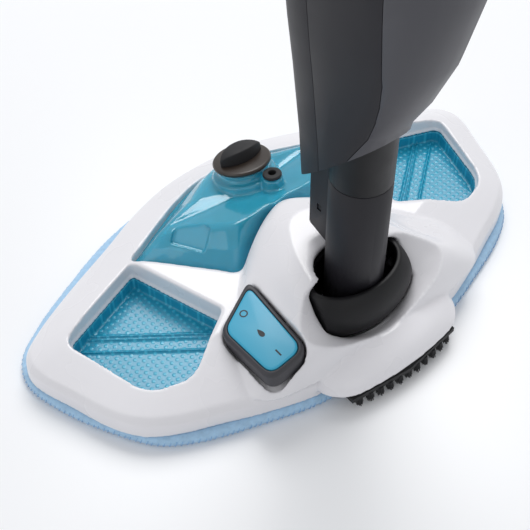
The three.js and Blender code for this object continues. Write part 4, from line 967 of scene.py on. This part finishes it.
class MOP_OT_pedal(bpy.types.Operator):
    """The detergent pedal: grey frame, light blue top and three plain marks"""

    bl_idname = "mop.pedal"
    bl_label = "Pedal"

    def execute(self, context):
        self.make_frame()
        self.make_top()
        self.make_marks()
        return {"FINISHED"}

    @staticmethod
    def make_frame():
        top, foot = PEDAL_TOP, PEDAL_FOOT
        levels = (
            (-1, foot), (0, foot + 1.6), (0, top - 2.2), (-0.35, top - 1.1), (-0.9, top - 0.4),
            (-1.8, top), (-2.3, top),
        )
        body = skin([at_height(offset(PEDAL_OUTLINE, d), z) for d, z in levels])
        hub = combined("hub", moved(drum(5, -12, 12, 32), ALONG_X), [
            ("INTERSECT", [prism(PEDAL_OUTLINE, foot, top - 3)]),
        ])
        under = rounded_outline(drawn_in(PEDAL, PEDAL_RIM))
        pedal = combined("pedal_frame", body, [("DIFFERENCE", [prism(under, foot - 1, top - 4)])])
        merge(pedal, "UNION", hub)
        combine(pedal, "DIFFERENCE", [
            prism(rounded_outline(drawn_in(PEDAL, PEDAL_RIM), 14), top - 1.6, FAR),
            moved(drum(2.15, -9.3, FAR, 24), ALONG_X),
        ])
        soften(pedal, 0.45, 3, 0.5)
        pedal.data.transform(metres(PEDAL_PLACE))
        stand_for(pedal, "detergent_pedal")

    @staticmethod
    def make_top():
        top, inset = PEDAL_TOP, 2.9
        levels = ((0, top - 1.3), (0, top - 0.1), (0.15, top + 0.2), (0.5, top + 0.4), (1.2, top + 0.5))
        form = skin([at_height(rounded_outline(drawn_in(PEDAL, inset + d), 14), z) for d, z in levels])
        plate = solid("pedal_top", moved(form, PEDAL_PLACE))
        stand_for(shaded(plate, 60), "pedal_insert")

    @staticmethod
    def make_marks():
        """A ring, a drop and a bar, printed a little proud of the pedal's top."""
        face = PEDAL_TOP + 0.5
        foot, top = face - 0.1, face + 0.06
        circle = np.linspace(0, 2 * math.pi, 40, endpoint=False)
        ring = np.column_stack([np.cos(circle), np.sin(circle)]) * 2.3
        drop = np.column_stack([1.9 * np.sin(circle) * np.sin(circle / 2), 2.9 * np.cos(circle)])
        bar = rounded_outline(
            [(0.45, 2.3, 0.3), (-0.45, 2.3, 0.3), (-0.45, -2.3, 0.3), (0.45, -2.3, 0.3)], 4
        )
        marks = [
            combined("pedal_ring", prism(ring, foot, top), [
                ("DIFFERENCE", [prism(ring * 0.68, face - 1, face + 1)]),
            ]),
            solid("pedal_drop", prism(counter_clockwise(drop), foot, top)),
            solid("pedal_bar", prism(bar, foot, top)),
        ]
        for mark, (x, y) in zip(marks, ((1.5, 16), (0.6, 0.5), (-0.2, -15))):
            mark.data.transform(metres(PEDAL_PLACE @ at(x, y, 0)))
            dressed(mark, "pedal_grey", BODIES["pedal_insert"])
            mark.data.materials[0] = FINISHES["ink"]


# ------------ brush


class MOP_OT_brush(bpy.types.Operator):
    """The curved strip of stiff bristle tufts at the rear"""

    bl_idname = "mop.brush"
    bl_label = "Brush"

    def execute(self, context):
        half_length, depth, run, bristles = 38, 5, 71.5, 30
        half = [(0, -49), (half_length, -44.5), (half_length, -35.5), (0, -40)]
        other = [(-half_length, -35.5), (-half_length, -44.5)]
        outline = counter_clockwise(np.array([*half, *other], float))
        foot, top = BRUSH_TOP - FIT - 4.2, BRUSH_TOP - 1.3
        parts = [prism(outline, foot, top)]
        draw = np.random.default_rng(7)
        count = context.scene.mop_sizes.tufts
        for i in range(count):
            x = (i - (count - 1) / 2) * run / count
            bow = depth * (x / half_length) ** 2 - depth / 2
            for row in (0, 1):
                middle = np.array((x + row * 1.6, -46.5 + bow + 2.3 + row * 4.4))
                parts.append(moved(drum(2.1, foot - 0.6, foot + 0.5, 20), at(*middle, 0)))
                for k in range(bristles):
                    parts.append(self.bristle(middle, k, bristles, foot, draw))
        stand_for(shaded(solid("bristle_strip", joined(parts)), 40), "brush_strip")
        return {"FINISHED"}

    @staticmethod
    def bristle(middle, k, count, foot, draw):
        """One bristle of a tuft, which splays out and leans to the rear."""
        angle, reach = k * 2.39996, 2.0 * math.sqrt((k + 0.5) / count)
        start = middle + reach * np.array((math.cos(angle), math.sin(angle)))
        end = middle + (start - middle) * 1.12 + draw.normal(0, 0.12, 2) - (0, 1.2)
        tip = 2.9 + draw.uniform(0, 0.7)
        halfway = start * 0.5 + end * 0.5
        route = [(*start, foot), (*halfway, (foot + tip) / 2), (*end, tip)]
        return swept(route, (0.36, 0.36, 0.3), 6)


# ------------ neck


class MOP_OT_neck(bpy.types.Operator):
    """The rounded yoke and the neck tube with its flat fin"""

    bl_idname = "mop.neck"
    bl_label = "Neck"

    def execute(self, context):
        angles = np.linspace(0, 2 * math.pi, 96, endpoint=False)
        slot = np.column_stack([27 * np.cos(angles), 16.7 * np.sin(angles)])
        yoke = combined("yoke_form", yoke_turned(0), [
            ("DIFFERENCE", [
                block((0, 0, 16 + FAR / 2), (FAR, FAR, FAR)),
                prism(slot, -FAR, FAR),
                moved(drum(TRUNNION_HOLE, -FAR, FAR, 48), ALONG_X),
                moved(drum(PIN_HOLE, -21.5, FAR, 48), ALONG_Y),
            ]),
        ])
        soften(yoke, 0.6, 5, 0.5)
        yoke.data.transform(metres(at(0, 0, PIVOT)))
        stand_for(yoke, "neck_yoke")

        profile = [
            (0, TUBE_FOOT), (14.4, TUBE_FOOT), (15.4, 22.5), (TUBE, 23.5), (TUBE, 117.9),
            (15.8, 118.35), (15.4, TUBE_TOP), (0, TUBE_TOP),
        ]
        tube = combined("neck_tube_shell", turned(profile, 128), [
            ("UNION", [self.fin_form()]),
            ("DIFFERENCE", [
                drum(TUBE_BORE, 21, 120, 96),
                moved(moved(drum(PIN_HOLE, -FAR, FAR, 48), ALONG_Y), at(0, 0, PIVOT)),
                block((0, 23, 82), (100, 3.2, 4.4)),
            ]),
        ])
        stand_for(shaded(tube, 32), "neck_tube")
        return {"FINISHED"}

    @staticmethod
    def fin_form():
        """The fin as rings across its thickness, with rounded long edges."""
        profile = [(-1, 60.5), (16, 60.5), (30.2, 64.9), (31, 66.2), (31, 118.5), (-1, 118.5)]
        rings = []
        for x, draw in ((-6, 0.7), (-5.6, 0.2), (-5, 0), (5, 0), (5.6, 0.2), (6, 0.7)):
            rings.append(np.array([
                (x, y - (draw if y > 20 else 0), z + (draw if z < 100 else 0)) for y, z in profile
            ]))
        return skin(rings)


# ------------ cloth


CLOTH_STEPS = 700
CLOTH_HALF_SIZE = np.array((165, 92))
CLOTH_TOP = 6.72
CLOTH_EDGE = [
    (-34, 0.5), (-22, 0.4), (-12, 0.3), (-7, 0.2), (-4, 0.15), (-2.2, 0.25), (-1.1, 0.7),
    (-0.4, 1.3), (0, 2.1), (0.15, 3.0), (0.1, 3.9), (-0.1, 4.7), (-0.5, 5.5), (-1.2, 6.2),
    (-2.4, 6.65), (-4, 6.7), (-7, 6.6), (-12, 6.5),
]


def cloth_rings(outline, outward, length):
    """The cloth from its underside round its edge to its top, with looped pile on the edge."""
    rings = []
    for inset, z in CLOTH_EDGE:
        if inset < -5:
            scale = 1 + inset / CLOTH_HALF_SIZE
            points = (outline - HEAD_MIDDLE) * scale + HEAD_MIDDLE
        else:
            points = offset(outline, inset)
        rings.append(at_height(points, z))
    for k, ring in enumerate(rings):
        if 3 < k < 15:
            loops = np.array([noise.noise(Vector((p[0] / 1.15, p[1] / 1.15, p[2] / 0.9))) for p in ring])
            knit = np.sin(2 * math.pi * (length / 2.6 + ring[:, 2] / 3.4))
            push = 0.32 * loops + 0.14 * knit - 0.12
            ring[:, :2] += outward * push[:, None]
            lift = np.clip(0.25 * loops, 0.05 - ring[:, 2], None)
            ring[:, 2] += lift * (0.4 if k < 8 else 1)
            ring[:, 2] = np.clip(ring[:, 2], 0.02, CLOTH_TOP)
    return rings


def edge_stitches(outline, outward, length, spacing):
    """Slanting loops of thread over the cloth's edge, evenly spaced all the way round."""
    stitches = []
    total = length[-1]
    pitch = total / round(total / spacing)
    places = np.interp(np.arange(0, total, pitch), length, np.arange(CLOTH_STEPS))
    for place in places:
        i = int(place) % CLOTH_STEPS
        j = (i + 2) % CLOTH_STEPS
        way = (outline[j] - outline[i]) / np.linalg.norm(outline[j] - outline[i])
        out = outward[i] / np.linalg.norm(outward[i])
        base = outline[i]
        route = [
            (*(base - way * 0.7 + out * -0.75), 1.0),
            (*(base - way * 0.35 + out * 0.15), 1.9),
            (*(base + out * 0.42), 2.9),
            (*(base + way * 0.35 + out * 0.15), 3.8),
            (*(base + way * 0.7 + out * -0.6), 4.8),
        ]
        stitches.append(swept(route, 0.3, 6))
    return stitches


class MOP_OT_cloth(bpy.types.Operator):
    """The microfibre cloth, with its looped edge and the stitching round it"""

    bl_idname = "mop.cloth"
    bl_label = "Cloth"

    def execute(self, context):
        outline = smooth_outline(CLOTH_HALF, CLOTH_STEPS)
        outward = offset(outline, 1) - outline
        length = np.cumsum(np.linalg.norm(outline - np.roll(outline, 1, 0), axis=1))
        cloth = shaded(solid("terry_cloth", skin(cloth_rings(outline, outward, length))), 180)
        stand_for(cloth, "mop_cloth")

        pitch = context.scene.mop_sizes.stitch_pitch
        stitches = edge_stitches(outline, outward, length, pitch)
        thread = shaded(solid("edge_stitching", joined(stitches)), 180)
        dressed(thread, "cloth_blue", BODIES["mop_cloth"])
        thread.data.materials[0] = FINISHES["thread"]
        return {"FINISHED"}


# ------------ dial


class MOP_OT_dial_pointer(bpy.types.Operator):
    """The raised light blue pointer on the steam dial"""

    bl_idname = "mop.dial_pointer"
    bl_label = "Dial pointer"

    def execute(self, context):
        turn = next(
            joint for joint in frame["record"]["behaviour"]["joints"]
            if joint["name"] == "steam_dial_turn"
        )
        outward = Vector(turn["axis"]).normalized()
        corners = [np.array(vertex.co) for vertex in frame["nodes"]["steam_dial"].data.vertices]
        middle = Vector(turn["pos_m"]) / MM
        face = max(outward.dot(Vector(corner / MM) - middle) for corner in corners)
        flat = outward.to_track_quat("Z", "Y").to_matrix().to_4x4()
        outline = rounded_outline([(1.1, 11.5, 0.8), (-1.1, 11.5, 0.8), (-1.1, 4, 0.8), (1.1, 4, 0.8)])
        levels = ((1, -0.6), (1, 0.35), (0.97, 0.6))
        bar = skin([at_height(outline * share, z) for share, z in levels])
        place = Matrix.Translation(middle + outward * face) @ flat
        pointer = shaded(solid("dial_pointer", moved(bar, place)), 30)
        dressed(pointer, "insert_blue", BODIES["steam_dial"])
        return {"FINISHED"}


# ------------ the rest


class MOP_OT_small_parts(bpy.types.Operator):
    """Finer copies of every piece that has no builder of its own"""

    bl_idname = "mop.small_parts"
    bl_label = "Small parts"

    def execute(self, context):
        done = set()
        for obj in bpy.data.objects:
            if obj.get("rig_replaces"):
                done.update(obj["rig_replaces"])
        for node in sorted(frame["nodes"]):
            if node not in done:
                stand_for(refined(node), node)
        return {"FINISHED"}


FRAME_SIZE = 530
FOCAL = 993.33
LIFT = 11
SENSOR = 36


class MOP_OT_stage(bpy.types.Operator):
    """Pale floor, soft lights and the camera"""

    bl_idname = "mop.stage"
    bl_label = "Stage"

    def execute(self, context):
        scene = context.scene
        floor = solid("floor", block((0, 0, -2), (6000, 6000, 4)))
        looks = {"Roughness": 0.28, "IOR": 1.49, "Base Color": linear("#F4F5F7")}
        floor.data.materials.append(new_material("white acrylic sheet", looks)[0])

        for name, place, aim, size, power in (
            ("overhead softbox", (0.75, 0.85, 1.7), (0, 0.05, 0), (1.2, 1.0), 21),
            ("left softbox", (-1.7, 0.1, 0.9), (0, 0.05, 0.05), (1.2, 1.2), 3.2),
            ("front softbox", (-0.3, -1.9, 0.9), (0, 0.05, 0.05), (1.4, 0.9), 1.6),
        ):
            light = bpy.data.lights.new(name, "AREA")
            light.shape = "RECTANGLE"
            light.size, light.size_y = size
            light.energy = power
            lamp = bpy.data.objects.new(name, light)
            lamp.location = place
            way = Vector(aim) - Vector(place)
            lamp.rotation_euler = way.to_track_quat("-Z", "Y").to_euler()
            scene.collection.objects.link(lamp)

        world = bpy.data.worlds.new("studio")
        world.use_nodes = True
        background = world.node_tree.nodes["Background"]
        background.inputs["Color"].default_value = linear("#FAFBFD")
        background.inputs["Strength"].default_value = 0.62
        scene.world = world
        scene.view_settings.view_transform = "Standard"

        turn, tip, roll = (math.radians(a) for a in (-37.79, 49.67, -1.21))
        back = Vector((math.sin(turn) * math.cos(tip), -math.cos(turn) * math.cos(tip), math.sin(tip)))
        right = Vector((math.cos(turn), math.sin(turn), 0))
        up = back.cross(right)
        across = right * math.cos(roll) + up * math.sin(roll)
        upward = up * math.cos(roll) - right * math.sin(roll)
        camera = bpy.data.objects.new("camera", bpy.data.cameras.new("camera"))
        camera.data.sensor_width = SENSOR
        camera.data.lens = FOCAL / FRAME_SIZE * SENSOR
        camera.data.shift_y = LIFT / FRAME_SIZE
        camera.data.clip_start = 0.01
        camera.matrix_world = Matrix.Translation((-0.2504, -0.2450, 0.4537)) @ Matrix(
            (across, upward, back)
        ).transposed().to_4x4()
        scene.collection.objects.link(camera)
        scene.camera = camera
        return {"FINISHED"}


class MOP_PT_panel(bpy.types.Panel):
    """Lists the builders and their settings"""

    bl_idname = "MOP_PT_panel"
    bl_label = "Steam mop"
    bl_space_type = "VIEW_3D"
    bl_region_type = "UI"
    bl_category = "Steam mop"

    def draw(self, context):
        column = self.layout.column()
        for group in (context.scene.mop_sizes, context.scene.mop_colours):
            for name in group.__annotations__:
                column.prop(group, name)
        for operator in OPERATORS:
            column.operator(operator.bl_idname)


OPERATORS = (
    MOP_OT_stage, MOP_OT_head_cover, MOP_OT_window_trays, MOP_OT_detergent_tank, MOP_OT_pedal,
    MOP_OT_brush, MOP_OT_neck, MOP_OT_cloth, MOP_OT_dial_pointer, MOP_OT_small_parts,
)
CLASSES = (MopSizes, MopColours, *OPERATORS, MOP_PT_panel)


def register():
    for kind in CLASSES:
        bpy.utils.register_class(kind)
    bpy.types.Scene.mop_sizes = bpy.props.PointerProperty(type=MopSizes)
    bpy.types.Scene.mop_colours = bpy.props.PointerProperty(type=MopColours)


def unregister():
    del bpy.types.Scene.mop_sizes
    del bpy.types.Scene.mop_colours
    for kind in reversed(CLASSES):
        bpy.utils.unregister_class(kind)


def main():
    register()
    scene = bpy.context.scene
    make_finishes(scene.mop_sizes, scene.mop_colours)
    for operator in OPERATORS:
        group, name = operator.bl_idname.split(".")
        getattr(getattr(bpy.ops, group), name)()


if __name__ == "__main__":
    main()
